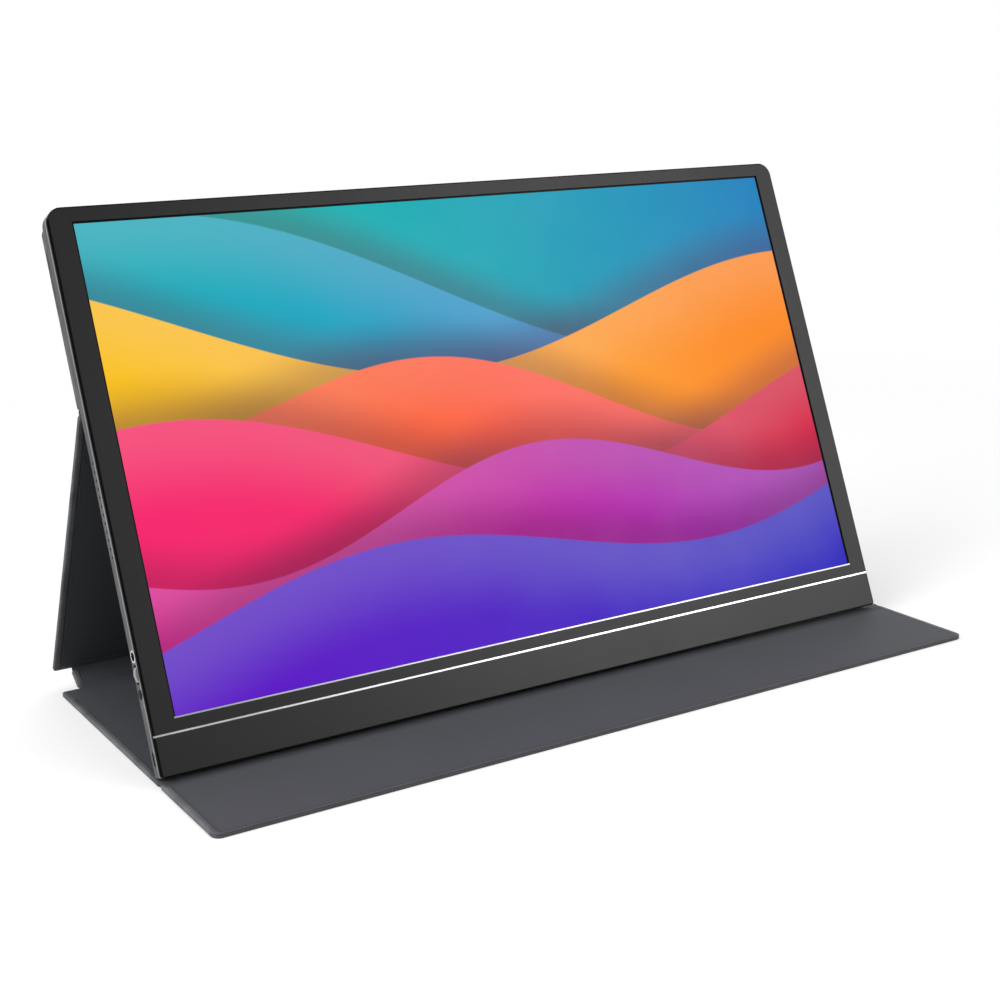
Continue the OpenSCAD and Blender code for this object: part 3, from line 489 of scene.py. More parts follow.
def make_fold_web(name, sizes):
    """Soft web of one fold: a closed section, whose outer and inner sides are curves from one panel to the
    next, carried along the fold's line. The inner side rises out of the linings, by a smooth step at either
    end and a squared sine between them, and has fine wrinkles across. The web narrows to round ends."""
    joint, before, after, strip, roll, lap = FOLDS[name]
    first, second = PanelPlace(before), PanelPlace(after)
    centre = fold_point(joint)
    gap = min(abs(second.z0), abs(second.z1))
    curves = []
    for level in (sizes.web_out, -sizes.web_in):
        start = centre - first.along * (gap + lap * MM) + first.out * level
        end = centre + second.along * (gap + sizes.web_lap) + second.out * level
        curves.append(hermite(start, end, first.along, second.along, WEB_POINTS))
    x0, x1 = max(first.x0, second.x0) + sizes.web_end, min(first.x1, second.x1) - sizes.web_end
    ends = WEB_ROUND_END
    quarter = np.linspace(0, math.pi / 2, 6)
    x = np.concatenate([x0 + ends * (1 - np.cos(quarter))[:-1], np.linspace(x0 + ends, x1 - ends, WEB_RINGS),
                        x1 - ends * (1 - np.sin(quarter))[1:]])[:, None]
    t = np.linspace(0, 1, WEB_POINTS)
    step = np.clip(np.minimum(t, 1 - t) / WEB_STEP, 0, 1)
    ripple = sizes.web_ripple * np.sin(x / RIPPLE + 2.5 * np.sin(x / RIPPLE_BEND)) * np.sin(x / RIPPLE_GROUP)
    fade = np.clip(np.minimum(x - x0, x1 - x) / WEB_FADE, 0, 1)
    rise = (sizes.web_rise * step * step * (3 - 2 * step)
            + (roll * MM * fade + ripple) * np.sin(math.pi * t) ** 2)
    inward = -((1 - t)[:, None] * first.out + t[:, None] * second.out)
    inner = curves[1] + rise[..., None] * inward
    outer = np.broadcast_to(curves[0], inner.shape)
    section = np.concatenate([outer, inner[:, ::-1]], axis=1)
    middle = section.mean(1, keepdims=True)
    from_end = np.clip(np.minimum(x - x0, x1 - x) / ends, 0.02, 1)
    side = middle + (section - middle) * np.sqrt(1 - (1 - from_end) ** 2)[..., None]
    rings = np.concatenate([np.broadcast_to(x[..., None], side.shape[:2] + (1,)), side], axis=-1)
    thing = closed_rings(name, rings)
    around = np.arange(2 * WEB_POINTS)
    lined = np.tile((around >= WEB_POINTS) & (around < 2 * WEB_POINTS - 1), len(x) - 1)
    thing.data.polygons.foreach_set("material_index", np.append(lined, [0, 0]).astype(np.int32))
    mark_points(thing, "edge", np.zeros(rings.shape[:2]))
    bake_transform(thing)
    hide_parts(strip)
    return thing


# ---- node trees ----

class Tree:
    """A node tree with short calls. Each adds a node, sets or links its inputs, and gives its output."""

    def __init__(self, tree):
        self.tree = tree

    def add(self, kind, inputs=None, **settings):
        node = self.tree.nodes.new("ShaderNode" + kind)
        for name, value in settings.items():
            setattr(node, name, value)
        for key, value in (inputs or {}).items():
            self.feed(node.inputs[key], value)
        return node

    def feed(self, socket, value):
        if isinstance(value, bpy.types.NodeSocket):
            self.tree.links.new(value, socket)
        else:
            socket.default_value = value

    def calc(self, operation, *values):
        return self.add("Math", dict(enumerate(values)), operation=operation).outputs[0]

    def fit(self, value, low, high, to_low=0.0, to_high=1.0, smooth=False):
        """Carries a value from one range to another, held at its ends."""
        ends = {"Value": value, "From Min": low, "From Max": high, "To Min": to_low, "To Max": to_high}
        kind = "SMOOTHSTEP" if smooth else "LINEAR"
        return self.add("MapRange", ends, interpolation_type=kind).outputs["Result"]

    def mix(self, share, first, second, way="MIX"):
        """Mixes two colours. Inputs 6 and 7 are the colour ones of this node."""
        node = self.add("Mix", {0: share, 6: first, 7: second}, data_type="RGBA", blend_type=way)
        return node.outputs[2]

    def lay(self, tint, colour, mask, share=1.0):
        """Lays a colour over a tint where a mask is 1, up to a share."""
        return self.mix(self.calc("MULTIPLY", mask, share), tint, colour)

    def place(self, vector, **inputs):
        """Moves, turns or scales coordinates."""
        values = {"Vector": vector}
        values.update({key.title(): value for key, value in inputs.items()})
        return self.add("Mapping", values).outputs[0]

    def noise(self, vector, scale, detail=2.0, rough=0.5, distortion=0.0):
        return self.add("TexNoise", {"Vector": vector, "Scale": scale, "Detail": detail, "Roughness": rough,
                                     "Distortion": distortion}).outputs["Fac"]

    def cells(self, vector, scale, feature="F1", randomness=1.0):
        return self.add("TexVoronoi", {"Vector": vector, "Scale": scale, "Randomness": randomness},
                        feature=feature).outputs["Distance"]

    def split(self, vector):
        return self.add("SeparateXYZ", {0: vector}).outputs

    def join(self, x, y, z):
        return self.add("CombineXYZ", {0: x, 1: y, 2: z}).outputs[0]

    def effect(self, group, **inputs):
        """Places a node group and gives its outputs by name."""
        node = self.tree.nodes.new("ShaderNodeGroup")
        node.node_tree = group
        for key, value in inputs.items():
            self.feed(node.inputs[key.replace("_", " ").capitalize()], value)
        return node.outputs


def effect_group(name, inputs, outputs):
    """Empty node group with number inputs, and one vector input named Vector. Gives the tree, its inputs and
    the node that takes its outputs."""
    tree = bpy.data.node_groups.new(name, "ShaderNodeTree")
    tree.interface.new_socket("Vector", in_out="INPUT", socket_type="NodeSocketVector")
    for label, default in inputs.items():
        socket = tree.interface.new_socket(label, in_out="INPUT", socket_type="NodeSocketFloat")
        socket.default_value = default
    for label in outputs:
        tree.interface.new_socket(label, in_out="OUTPUT", socket_type="NodeSocketFloat")
    made = Tree(tree)
    return made, tree.nodes.new("NodeGroupInput").outputs, tree.nodes.new("NodeGroupOutput").inputs


def once(build):
    """Keeps what a builder of a node group made, so that every material shares it."""
    kept = []

    def give():
        if not kept:
            kept.append(build())
        return kept[0]
    return give


@once
def moulded_grain():
    """Fine moulded texture, with slow clouds in its shade and gloss."""
    t, given, out = effect_group(
        "moulded_grain", {"Size": 0.0004, "Shade": 0.06, "Gloss": 0.4, "Clouds": 0.08},
        ["Tone", "Roughness", "Height"])
    fine = t.noise(given["Vector"], t.calc("DIVIDE", 1.0, given["Size"]), detail=3.0)
    slow = t.noise(given["Vector"], 28.0, detail=4.0, rough=0.6, distortion=0.4)
    mean = t.calc("ADD", t.calc("MULTIPLY", fine, 0.5), t.calc("MULTIPLY", slow, 0.5))
    swing = t.calc("SUBTRACT", mean, 0.5)
    t.feed(out["Tone"], t.calc("MULTIPLY_ADD", swing, t.calc("MULTIPLY", given["Shade"], 4.0), 1.0))
    slow_swing = t.calc("SUBTRACT", slow, 0.5)
    t.feed(out["Roughness"], t.calc("MULTIPLY_ADD", slow_swing, given["Clouds"], given["Gloss"]))
    t.feed(out["Height"], fine)
    return t.tree


@once
def hide_grain():
    """Pebbled hide: swollen cells with creases between them, and pores."""
    t, given, out = effect_group("hide_grain", {"Size": 0.0007, "Shade": 0.2}, ["Tone", "Height"])
    scale = t.calc("DIVIDE", 1.0, given["Size"])
    bend = t.add("TexNoise", {"Vector": given["Vector"], "Scale": t.calc("MULTIPLY", scale, 0.45),
                              "Detail": 2.0}).outputs["Color"]
    bent = t.add("VectorMath", {0: bend, 1: (0.0006, 0.0006, 0.0006), 2: given["Vector"]},
                 operation="MULTIPLY_ADD").outputs[0]
    rim = t.cells(bent, scale, feature="DISTANCE_TO_EDGE")
    pebble = t.fit(rim, 0.0, 0.28, smooth=True)
    pores = t.fit(t.noise(bent, t.calc("MULTIPLY", scale, 2.6), detail=1.0), 0.58, 0.72)
    height = t.calc("SUBTRACT", pebble, t.calc("MULTIPLY", pores, 0.25))
    t.feed(out["Height"], height)
    t.feed(out["Tone"], t.calc("MULTIPLY_ADD", t.calc("SUBTRACT", height, 0.75), given["Shade"], 1.0))
    return t.tree


@once
def cloth_nap():
    """Smooth micro-fibre cloth: short fibres both ways and slow patches where the nap lies differently."""
    t, given, out = effect_group("cloth_nap", {"Size": 0.0003, "Shade": 0.1}, ["Tone", "Height"])
    scale = t.calc("DIVIDE", 1.0, given["Size"])
    across = t.noise(t.place(given["Vector"], scale=(0.25, 1.0, 1.0)), scale, detail=2.0)
    along = t.noise(t.place(given["Vector"], scale=(1.0, 0.3, 0.3)), scale, detail=2.0)
    fibre = t.calc("MAXIMUM", across, along)
    patch = t.noise(given["Vector"], 22.0, detail=5.0, rough=0.62, distortion=0.6)
    t.feed(out["Height"], fibre)
    swing = t.calc("ADD", t.calc("SUBTRACT", fibre, 0.56), t.calc("SUBTRACT", patch, 0.5))
    t.feed(out["Tone"], t.calc("MULTIPLY_ADD", swing, given["Shade"], 1.0))
    return t.tree


@once
def brushed():
    """Brush marks: noise drawn out along x, with cloudy gloss."""
    t, given, out = effect_group("brushed", {"Length": 0.006, "Shade": 0.1, "Gloss": 0.3},
                                 ["Tone", "Roughness", "Height"])
    stretch = t.calc("DIVIDE", 0.00012, given["Length"])
    vector = t.add("VectorMath", {0: given["Vector"], 1: t.join(stretch, 1.0, 1.0)},
                   operation="MULTIPLY").outputs[0]
    marks = t.noise(vector, 7000.0, detail=3.0, rough=0.7)
    clouds = t.noise(given["Vector"], 60.0, detail=3.0)
    swing = t.calc("SUBTRACT", marks, 0.5)
    t.feed(out["Tone"], t.calc("MULTIPLY_ADD", swing, given["Shade"], 1.0))
    t.feed(out["Roughness"], t.calc("ADD", given["Gloss"],
                                    t.calc("MULTIPLY", t.calc("SUBTRACT", clouds, 0.45), 0.25)))
    t.feed(out["Height"], marks)
    return t.tree


@once
def handling():
    """Traces of use: sparse specks of dust and fine hair scratches."""
    t, given, out = effect_group("handling", {"Dust size": 0.004}, ["Dust", "Scratch"])
    scale = t.calc("DIVIDE", 1.0, given["Dust size"])
    near = t.cells(given["Vector"], scale)
    pick = t.noise(given["Vector"], t.calc("MULTIPLY", scale, 0.35), detail=0.0)
    t.feed(out["Dust"], t.calc("MULTIPLY", t.fit(near, 0.05, 0.02), t.fit(pick, 0.55, 0.62)))
    turned = t.place(given["Vector"], rotation=(0.3, 0.9, 0.5), scale=(1.0, 1.0, 26.0))
    line = t.cells(turned, 30.0, feature="DISTANCE_TO_EDGE")
    rare = t.fit(t.noise(given["Vector"], 40.0, detail=1.0), 0.6, 0.68)
    t.feed(out["Scratch"], t.calc("MULTIPLY", t.fit(line, 0.02, 0.0), rare))
    return t.tree


@once
def casing_rim():
    """How near a point of the casing is to its outline, from 1 at the rim to 0 inside. Vector is in the
    monitor's own frame."""
    t, given, out = effect_group(
        "casing_rim", {"Half width": CASING_HALF, "Height": CASING_HEIGHT, "Reach": 0.0012}, ["Rim"])
    x, _, z = t.split(given["Vector"])
    from_side = t.calc("SUBTRACT", given["Half width"], t.calc("ABSOLUTE", x))
    from_end = t.calc("MINIMUM", z, t.calc("SUBTRACT", given["Height"], z))
    inside = t.calc("MINIMUM", from_side, from_end)
    t.feed(out["Rim"], t.fit(inside, 0.0, given["Reach"], 1.0, 0.0, smooth=True))
    return t.tree


@once
def printed_circuit():
    """Circuit board: copper tracks under the lacquer, pads and small holes on a square pitch."""
    t, given, out = effect_group("printed_circuit", {"Pitch": 0.0016}, ["Track", "Pad"])
    scale = t.calc("DIVIDE", 1.0, given["Pitch"])
    block = t.add("TexBrick", {"Vector": t.place(given["Vector"], rotation=(math.pi / 2, 0, 0)),
                               "Scale": scale, "Mortar Size": 0.06, "Color1": (0, 0, 0, 1),
                               "Color2": (0.2, 0.2, 0.2, 1), "Mortar": (1, 1, 1, 1)}).outputs["Fac"]
    rare = t.fit(t.noise(given["Vector"], t.calc("MULTIPLY", scale, 0.12), detail=0.0), 0.47, 0.5)
    t.feed(out["Track"], t.calc("MULTIPLY", block, rare))
    dots = t.cells(given["Vector"], scale, randomness=0.0)
    some = t.fit(t.noise(given["Vector"], t.calc("MULTIPLY", scale, 0.3), detail=0.0), 0.56, 0.58)
    t.feed(out["Pad"], t.calc("MULTIPLY", t.fit(dots, 0.22, 0.18), some))
    return t.tree


def own_place(t):
    """Coordinates of the object itself, in metres."""
    return t.add("TexCoord").outputs["Object"]


def casing_place(t):
    """Coordinates in the monitor's own frame: x across, y from front to back, z up the screen."""
    return t.place(own_place(t), rotation=(LEAN, 0.0, 0.0), location=CASING_OFFSET)


def bare_tree(owner):
    """The emptied node tree of a material or world."""
    owner.use_nodes = True
    owner.node_tree.nodes.clear()
    return Tree(owner.node_tree)


def start_material(name):
    """Material with only its shader and output. Gives the material, its tree and the shader."""
    material = bpy.data.materials.new(name)
    t = bare_tree(material)
    shader = t.add("BsdfPrincipled")
    t.feed(t.add("OutputMaterial").inputs["Surface"], shader.outputs[0])
    return material, t, shader


def rgba(value):
    return (value[0], value[1], value[2], 1.0)


def shaded(t, base, tone):
    """A colour made lighter or darker by a tone round 1."""
    grey = t.join(tone, tone, tone)
    return t.mix(1.0, rgba(base), grey, way="MULTIPLY")


def coat(t, shader, tint, rough, height, depth, strength=1.0):
    """Gives a shader its colour and roughness, and lets a height raise its surface by up to depth."""
    t.feed(shader.inputs["Base Color"], tint)
    t.feed(shader.inputs["Roughness"], rough)
    bump = t.add("Bump", {"Height": height, "Distance": depth, "Strength": strength})
    t.feed(shader.inputs["Normal"], bump.outputs[0])


# ---- finishes ----

DUST, CLOTH_DUST = (0.4, 0.4, 0.39, 1.0), (0.4, 0.4, 0.4, 1.0)
DUST_SHARE = 0.12
# painted shade on the casing's skirt, and how far in from the outline it reaches
PAINTED_SKIRT_SHADE, SKIRT_SHADE_REACH = (0.001, 0.001, 0.001, 1.0), 1.1 * MM
# painted shade of the gap at the shell's seam, and painted highlight of the polished edge behind it
PAINTED_GAP_SHADE, PAINTED_EDGE_HIGHLIGHT = (0.004, 0.004, 0.004, 1.0), (0.7, 0.7, 0.72, 1.0)
SCRATCH_TINT = (0.6, 0.6, 0.61, 1.0)
COPPER_TINT, LAMP_TINT, DOT_TINT = (0.36, 0.16, 0.06, 1.0), (0.95, 0.82, 0.36, 1.0), (0.7, 0.72, 0.75, 1.0)


def plastic(name, base, size=0.0004, shade=0.05, gloss=0.42, specular=0.3, skirt_shade=0.0):
    """Moulded plastic: fine grain, cloudy gloss and dust, and on the casing painted shade: a near-black skirt
    round its sides that throws nothing back, where shade falls between the bezel and the shell."""
    material, t, shader = start_material(name)
    vector = casing_place(t) if skirt_shade else own_place(t)
    grain = t.effect(moulded_grain(), vector=vector, size=size, shade=shade, gloss=gloss)
    marks = t.effect(handling(), vector=vector)
    tint = shaded(t, base, grain["Tone"])
    if skirt_shade:
        # painted shade: the skirt is made near black, metallic and dull, standing in for the shade between
        # bezel and shell
        edge = t.calc("MULTIPLY", t.effect(casing_rim(), vector=vector, reach=SKIRT_SHADE_REACH)["Rim"], skirt_shade)
        tint = t.mix(edge, tint, PAINTED_SKIRT_SHADE)
    tint = t.lay(tint, DUST, marks["Dust"], DUST_SHARE)
    rough = t.calc("ADD", grain["Roughness"], t.calc("MULTIPLY", marks["Scratch"], 0.12))
    if skirt_shade:
        rough = t.calc("MAXIMUM", rough, t.calc("MULTIPLY", edge, 0.95))
        t.feed(shader.inputs["Metallic"], edge)
    shader.inputs["Specular IOR Level"].default_value = specular
    coat(t, shader, tint, rough, grain["Height"], 0.00002)
    return material


def metal(name, base, gloss=0.3, mark_length=0.006, shade=0.12, metallic=1.0, seam=None):
    """Brushed metal: brush marks across the monitor and cloudy gloss. On the shell, seam is the depth at
    which it
    meets the front parts: there a near-black line is painted shade of the gap, and just behind it a lighter
    band is a painted highlight of a polished edge catching the light."""
    material, t, shader = start_material(name)
    vector = casing_place(t)
    marks = t.effect(brushed(), vector=vector, length=mark_length, shade=shade, gloss=gloss)
    use = t.effect(handling(), vector=vector)
    tint = shaded(t, base, marks["Tone"])
    if seam is not None:
        # painted shade at the seam, and a painted highlight in a band just behind it
        behind = t.calc("SUBTRACT", t.split(vector)[1], seam)
        edge_highlight = t.calc("MULTIPLY", t.fit(behind, 0.6 * MM, 0.9 * MM), t.fit(behind, 2.2 * MM, 1.6 * MM))
        tint = t.lay(tint, PAINTED_EDGE_HIGHLIGHT, edge_highlight, 0.3)
        tint = t.mix(t.fit(behind, 0.7 * MM, 0.5 * MM), tint, PAINTED_GAP_SHADE)
    tint = t.lay(tint, SCRATCH_TINT, use["Scratch"], 0.06)
    shader.inputs["Metallic"].default_value = metallic
    coat(t, shader, tint, marks["Roughness"], marks["Height"], 0.000008)
    return material


def leather(name, base):
    """Grained leather-look skin: pebbles and creases, slow clouds, and paler edges that are partly wear and
    partly painted highlight, strongest on the panels' sides.
    """
    material, t, shader = start_material(name)
    vector = own_place(t)
    grain = t.effect(hide_grain(), vector=vector, size=0.0007, shade=0.32)
    marks = t.effect(handling(), vector=vector)
    slow = t.noise(vector, 18.0, detail=4.0, rough=0.6)
    edge = t.add("Attribute", attribute_name="edge").outputs["Fac"]
    tint = shaded(t, base, t.calc("MULTIPLY", grain["Tone"], t.fit(slow, 0.3, 0.7, 0.9, 1.1)))
    # wear and painted highlight: paler edges, most of all on the sides where the rounded edge catches the
    # light
    wear_and_highlight = t.calc("MULTIPLY", edge, t.fit(t.noise(vector, 70.0, detail=4.0), 0.25, 0.6))
    tint = t.lay(tint, rgba([v * 3.0 + 0.02 for v in base]), wear_and_highlight, 0.75)
    tint = t.lay(tint, DUST, marks["Dust"], DUST_SHARE)
    shader.inputs["Specular IOR Level"].default_value = 0.28
    coat(t, shader, tint, t.fit(grain["Height"], 0.0, 1.0, 0.62, 0.46), grain["Height"], 0.00007, 0.8)
    return material


def lining_cloth(name, base):
    """Smooth lining: fine nap with slow patches, a little sheen, and painted shade: a darker line by its
    edge, in the groove next to the border.
    """
    material, t, shader = start_material(name)
    vector = own_place(t)
    nap = t.effect(cloth_nap(), vector=vector, size=0.00035, shade=0.22)
    marks = t.effect(handling(), vector=vector, dust_size=0.006)
    edge = t.add("Attribute", attribute_name="edge").outputs["Fac"]
    tint = shaded(t, base, nap["Tone"])
    # painted shade: darker by the edge, where the groove to the border falls in shade
    tint = t.lay(tint, rgba([v * 0.6 for v in base]), edge, 0.3)
    tint = t.lay(tint, CLOTH_DUST, marks["Dust"], DUST_SHARE)
    shader.inputs["Specular IOR Level"].default_value = 0.18
    shader.inputs["Sheen Weight"].default_value = 0.05
    shader.inputs["Sheen Roughness"].default_value = 0.45
    coat(t, shader, tint, t.fit(nap["Height"], 0.3, 0.7, 0.72, 0.6), nap["Height"], 0.00002, 0.6)
    return material


# Sheets of the screen's picture, from the back one to the front one: height of the upper edge at the left
# (0 at the picture's foot, 1 at its top), its fall to the right, its wave's height, waves across the picture,
# the wave's place, and the colours at the left and at the right end
PICTURE_SHEETS = [
    (0.95, 0.34, 0.10, 0.9, 0.10, (0, 176, 190), (0, 112, 214)),
    (0.78, 0.10, 0.13, 0.8, 0.42, (255, 196, 0), (255, 138, 0)),
    (0.62, 0.18, 0.10, 1.1, 0.78, (255, 110, 30), (255, 64, 74)),
    (0.46, 0.02, 0.12, 0.9, 0.20, (250, 30, 110), (214, 0, 60)),
    (0.31, -0.04, 0.09, 1.2, 0.60, (222, 0, 150), (160, 0, 180)),
    (0.15, -0.08, 0.08, 1.0, 0.95, (92, 0, 200), (34, 20, 190)),
]
PICTURE_SKY = ((0, 200, 176), (0, 128, 190))
SHEET_SHADOW, SHEET_SHADOW_REACH = (0.08, 0.0, 0.05, 1.0), 0.12
SHEET_GLOW, SHEET_GLOW_REACH = 0.14, 0.2
SCREEN_DARK, SCREEN_SMUDGED = (0.003, 0.003, 0.004, 1.0), (0.006, 0.006, 0.007, 1.0)


def screen_picture(name, sizes):
    """Lit screen with a plain abstract picture inside an unlit line: soft waving sheets that overlap, each
    with a shadow on the one behind. A sheet's upper edge is a sloping line plus one sine."""
    material, t, shader = start_material(name)
    x, _, z = t.split(casing_place(t))
    trim = corners("picture_trim")
    foot = (trim[:, 1] * math.sin(LEAN) + trim[:, 2] * math.cos(LEAN)).max() + CASING_OFFSET[2]
    width = trim[:, 0].max() - trim[:, 0].min() - 2 * sizes.dark_line
    height = sizes.picture_height - sizes.dark_line
    across = t.calc("ADD", t.calc("DIVIDE", x, width), 0.5)
    up = t.calc("DIVIDE", t.calc("SUBTRACT", z, foot), height)
    tint = t.mix(across, rgba(srgb(*PICTURE_SKY[0])), rgba(srgb(*PICTURE_SKY[1])))
    for level, fall, swell, waves, phase, left, right in PICTURE_SHEETS:
        angle = t.calc("MULTIPLY_ADD", across, 2 * math.pi * waves, 2 * math.pi * phase)
        line = t.calc("MULTIPLY_ADD", t.calc("SINE", angle), swell, level)
        line = t.calc("SUBTRACT", line, t.calc("MULTIPLY", across, fall))
        above = t.calc("SUBTRACT", up, line)
        shadow = t.calc("MULTIPLY", t.fit(above, 0.0, SHEET_SHADOW_REACH, 1.0, 0.0, smooth=True), 0.4)
        tint = t.mix(shadow, tint, SHEET_SHADOW)
        sheet = t.mix(t.fit(across, 0.0, 1.0, smooth=True), rgba(srgb(*left)), rgba(srgb(*right)))
        glow = t.fit(above, -SHEET_GLOW_REACH, 0.0, 0.0, SHEET_GLOW, smooth=True)
        sheet = t.mix(glow, sheet, rgba([0.5 + 0.5 * v for v in srgb(*left)]))
        tint = t.mix(t.fit(above, 0.0015, -0.0015), tint, sheet)
    dots = t.effect(moulded_grain(), vector=casing_place(t), size=0.0006, shade=0.01)["Tone"]
    inside = t.calc("MULTIPLY", t.calc("LESS_THAN", t.calc("ABSOLUTE", t.calc("SUBTRACT", across, 0.5)), 0.5),
                    t.calc("LESS_THAN", up, 1.0))
    lit = t.mix(1.0, tint, t.join(dots, dots, dots), way="MULTIPLY")
    t.feed(shader.inputs["Emission Color"], t.mix(inside, BLACK, lit))
    shader.inputs["Emission Strength"].default_value = 0.95
    smudge = t.noise(casing_place(t), 35.0, detail=4.0)
    t.feed(shader.inputs["Base Color"], t.mix(smudge, SCREEN_DARK, SCREEN_SMUDGED))
    t.feed(shader.inputs["Roughness"], t.fit(smudge, 0.3, 0.7, 0.30, 0.42))
    shader.inputs["Specular IOR Level"].default_value = 0.04
    return material


def circuit_board(name, base):
    """Lacquered board with tracks, pads and a faint weave."""
    material, t, shader = start_material(name)
    vector = casing_place(t)
    print_marks = t.effect(printed_circuit(), vector=vector)
    grain = t.effect(moulded_grain(), vector=vector, size=0.0008, shade=0.05, gloss=0.3)
    tint = shaded(t, base, grain["Tone"])
    tint = t.lay(tint, rgba([v * 2.1 for v in base]), print_marks["Track"], 0.6)
    tint = t.mix(print_marks["Pad"], tint, (0.75, 0.72, 0.62, 1.0))
    t.feed(shader.inputs["Metallic"], t.calc("MULTIPLY", print_marks["Pad"], 0.9))
    raised = t.calc("ADD", print_marks["Track"], print_marks["Pad"])
    coat(t, shader, tint, grain["Roughness"], raised, 0.00003)
    return material


def copper_lines(t, vector):
    """Fine lines along a ribbon, as a mask."""
    x, _, z = t.split(vector)
    return t.fit(t.calc("PINGPONG", t.calc("ADD", x, z), 0.0005), 0.0002, 0.0003)


def printed_dots(pitch):
    """Round dots on a square pitch, as a mask."""
    return lambda t, vector: t.fit(t.cells(vector, 1 / pitch, randomness=0.0), 0.3, 0.22)


def small_lamps(t, vector):
    """Squares at a steady pitch along a strip, as a mask."""
    return t.fit(t.calc("PINGPONG", t.split(vector)[0], 0.004), 0.0022, 0.0024)


def marked_sheet(name, base, marks, mark_tint, share, depth, size=0.0006, shade=0.05, gloss=0.3):
    """Thin sheet or strip of one colour with fine grain, and marks of another colour over a share of it."""
    material, t, shader = start_material(name)
    vector = casing_place(t)
    mask = marks(t, vector)
    grain = t.effect(moulded_grain(), vector=vector, size=size, shade=shade, gloss=gloss)
    tint = t.lay(shaded(t, base, grain["Tone"]), mark_tint, mask, share)
    coat(t, shader, tint, grain["Roughness"], mask, depth)
    return material


def film_sheet(name, base, gloss, dot_pitch, dot_share):
    """Optical sheet with faint printed dots."""
    return marked_sheet(name, base, printed_dots(dot_pitch), DOT_TINT, dot_share, 0.00001,
                        size=0.001, shade=0.02, gloss=gloss)


def card_board(name, base):
    """Grey board: pulp fibres and flecks."""
    material, t, shader = start_material(name)
    vector = own_place(t)
    pulp = t.effect(cloth_nap(), vector=vector, size=0.0007, shade=0.35)
    fleck = t.fit(t.cells(vector, 420.0), 0.12, 0.08)
    tint = t.lay(shaded(t, base, pulp["Tone"]), (0.2, 0.17, 0.13, 1.0), fleck, 0.4)
    coat(t, shader, tint, t.fit(pulp["Height"], 0.3, 0.7, 0.95, 0.8), pulp["Height"], 0.00006)
    return material


# ---- operators ----

def dress(material, *names):
    """Gives CAD nodes a material through their own slots."""
    for name in names:
        NODES[name].material_slots[0].material = material


class FOLIO_OT_skins(bpy.types.Operator):
    """Makes the leather-look skin of every panel"""
    bl_idname = "folio.skins"
    bl_label = "Panel skins"
    bl_options = {"REGISTER", "UNDO"}

    def execute(self, context):
        scene = context.scene
        finish = leather("cover_skin", scene.folio_colours.leather)
        for name in PANELS:
            make_skin(name, scene.folio_cover).data.materials.append(finish)
        return {"FINISHED"}


class FOLIO_OT_linings(bpy.types.Operator):
    """Makes the lining of every panel"""
    bl_idname = "folio.linings"
    bl_label = "Panel linings"
    bl_options = {"REGISTER", "UNDO"}

    def execute(self, context):
        scene = context.scene
        finish = lining_cloth("cover_lining", scene.folio_colours.lining)
        for name in PANELS:
            make_lining(name, scene.folio_cover).data.materials.append(finish)
        return {"FINISHED"}


class FOLIO_OT_folds(bpy.types.Operator):
    """Makes the soft web of every fold"""
    bl_idname = "folio.folds"
    bl_label = "Fold webs"
    bl_options = {"REGISTER", "UNDO"}

    def execute(self, context):
        scene = context.scene
        skin, lining = bpy.data.materials["cover_skin"], bpy.data.materials["cover_lining"]
        for name in FOLDS:
            web = make_fold_web(name, scene.folio_cover)
            web.data.materials.append(skin)
            web.data.materials.append(lining)
        return {"FINISHED"}


class FOLIO_OT_casing(bpy.types.Operator):
    """Finishes the bezel, the chin, the bright lines and the rear shell"""
    bl_idname = "folio.casing"
    bl_label = "Casing"
    bl_options = {"REGISTER", "UNDO"}

    def execute(self, context):
        scene = context.scene
        colours, sizes = scene.folio_colours, scene.folio_casing
        dress(plastic("bezel_plastic", colours.bezel, sizes.grain, gloss=0.38, specular=0.13, skirt_shade=0.95),
              "bezel_frame")
        dress(plastic("chin_plastic", colours.chin, sizes.grain, gloss=0.36, specular=0.14, skirt_shade=0.95),
              "chin_panel")
        dress(metal("trim_line", colours.trim, gloss=0.22, mark_length=sizes.brush, shade=0.05), "chin_trim")
        dress(metal("picture_line", colours.picture_trim, gloss=0.3, mark_length=sizes.brush, shade=0.05),
              "picture_trim")
        front = corners("rear_shell")
        seam = (front[:, 1] * math.cos(LEAN) - front[:, 2] * math.sin(LEAN)).min() + CASING_OFFSET[1]
        dress(metal("shell_metal", colours.shell, gloss=0.42, mark_length=0.0004, shade=0.06, metallic=0.9,
                    seam=seam), "rear_shell")
        return {"FINISHED"}


class FOLIO_OT_screen(bpy.types.Operator):
    """Lights the screen with an abstract picture"""
    bl_idname = "folio.screen"
    bl_label = "Screen"
    bl_options = {"REGISTER", "UNDO"}

    def execute(self, context):
        dress(screen_picture("lit_screen", context.scene.folio_casing), "display_cell")
        return {"FINISHED"}


class FOLIO_OT_controls(bpy.types.Operator):
    """Finishes the jack, its ring, the rocker and the power button"""
    bl_idname = "folio.controls"
    bl_label = "Controls"
    bl_options = {"REGISTER", "UNDO"}

    def execute(self, context):
        colours = context.scene.folio_colours
        dress(metal("ring_metal", colours.ring, gloss=0.12, shade=0.03), "jack_ring")
        dress(metal("rocker_metal", colours.rocker, gloss=0.35, mark_length=0.0005, shade=0.05, metallic=0.7),
              "rocker")
        dress(plastic("button_plastic", colours.button, gloss=0.6, specular=0.08), "power_button")
        dress(plastic("jack_plastic", colours.dark, gloss=0.5), "audio_jack")
        return {"FINISHED"}


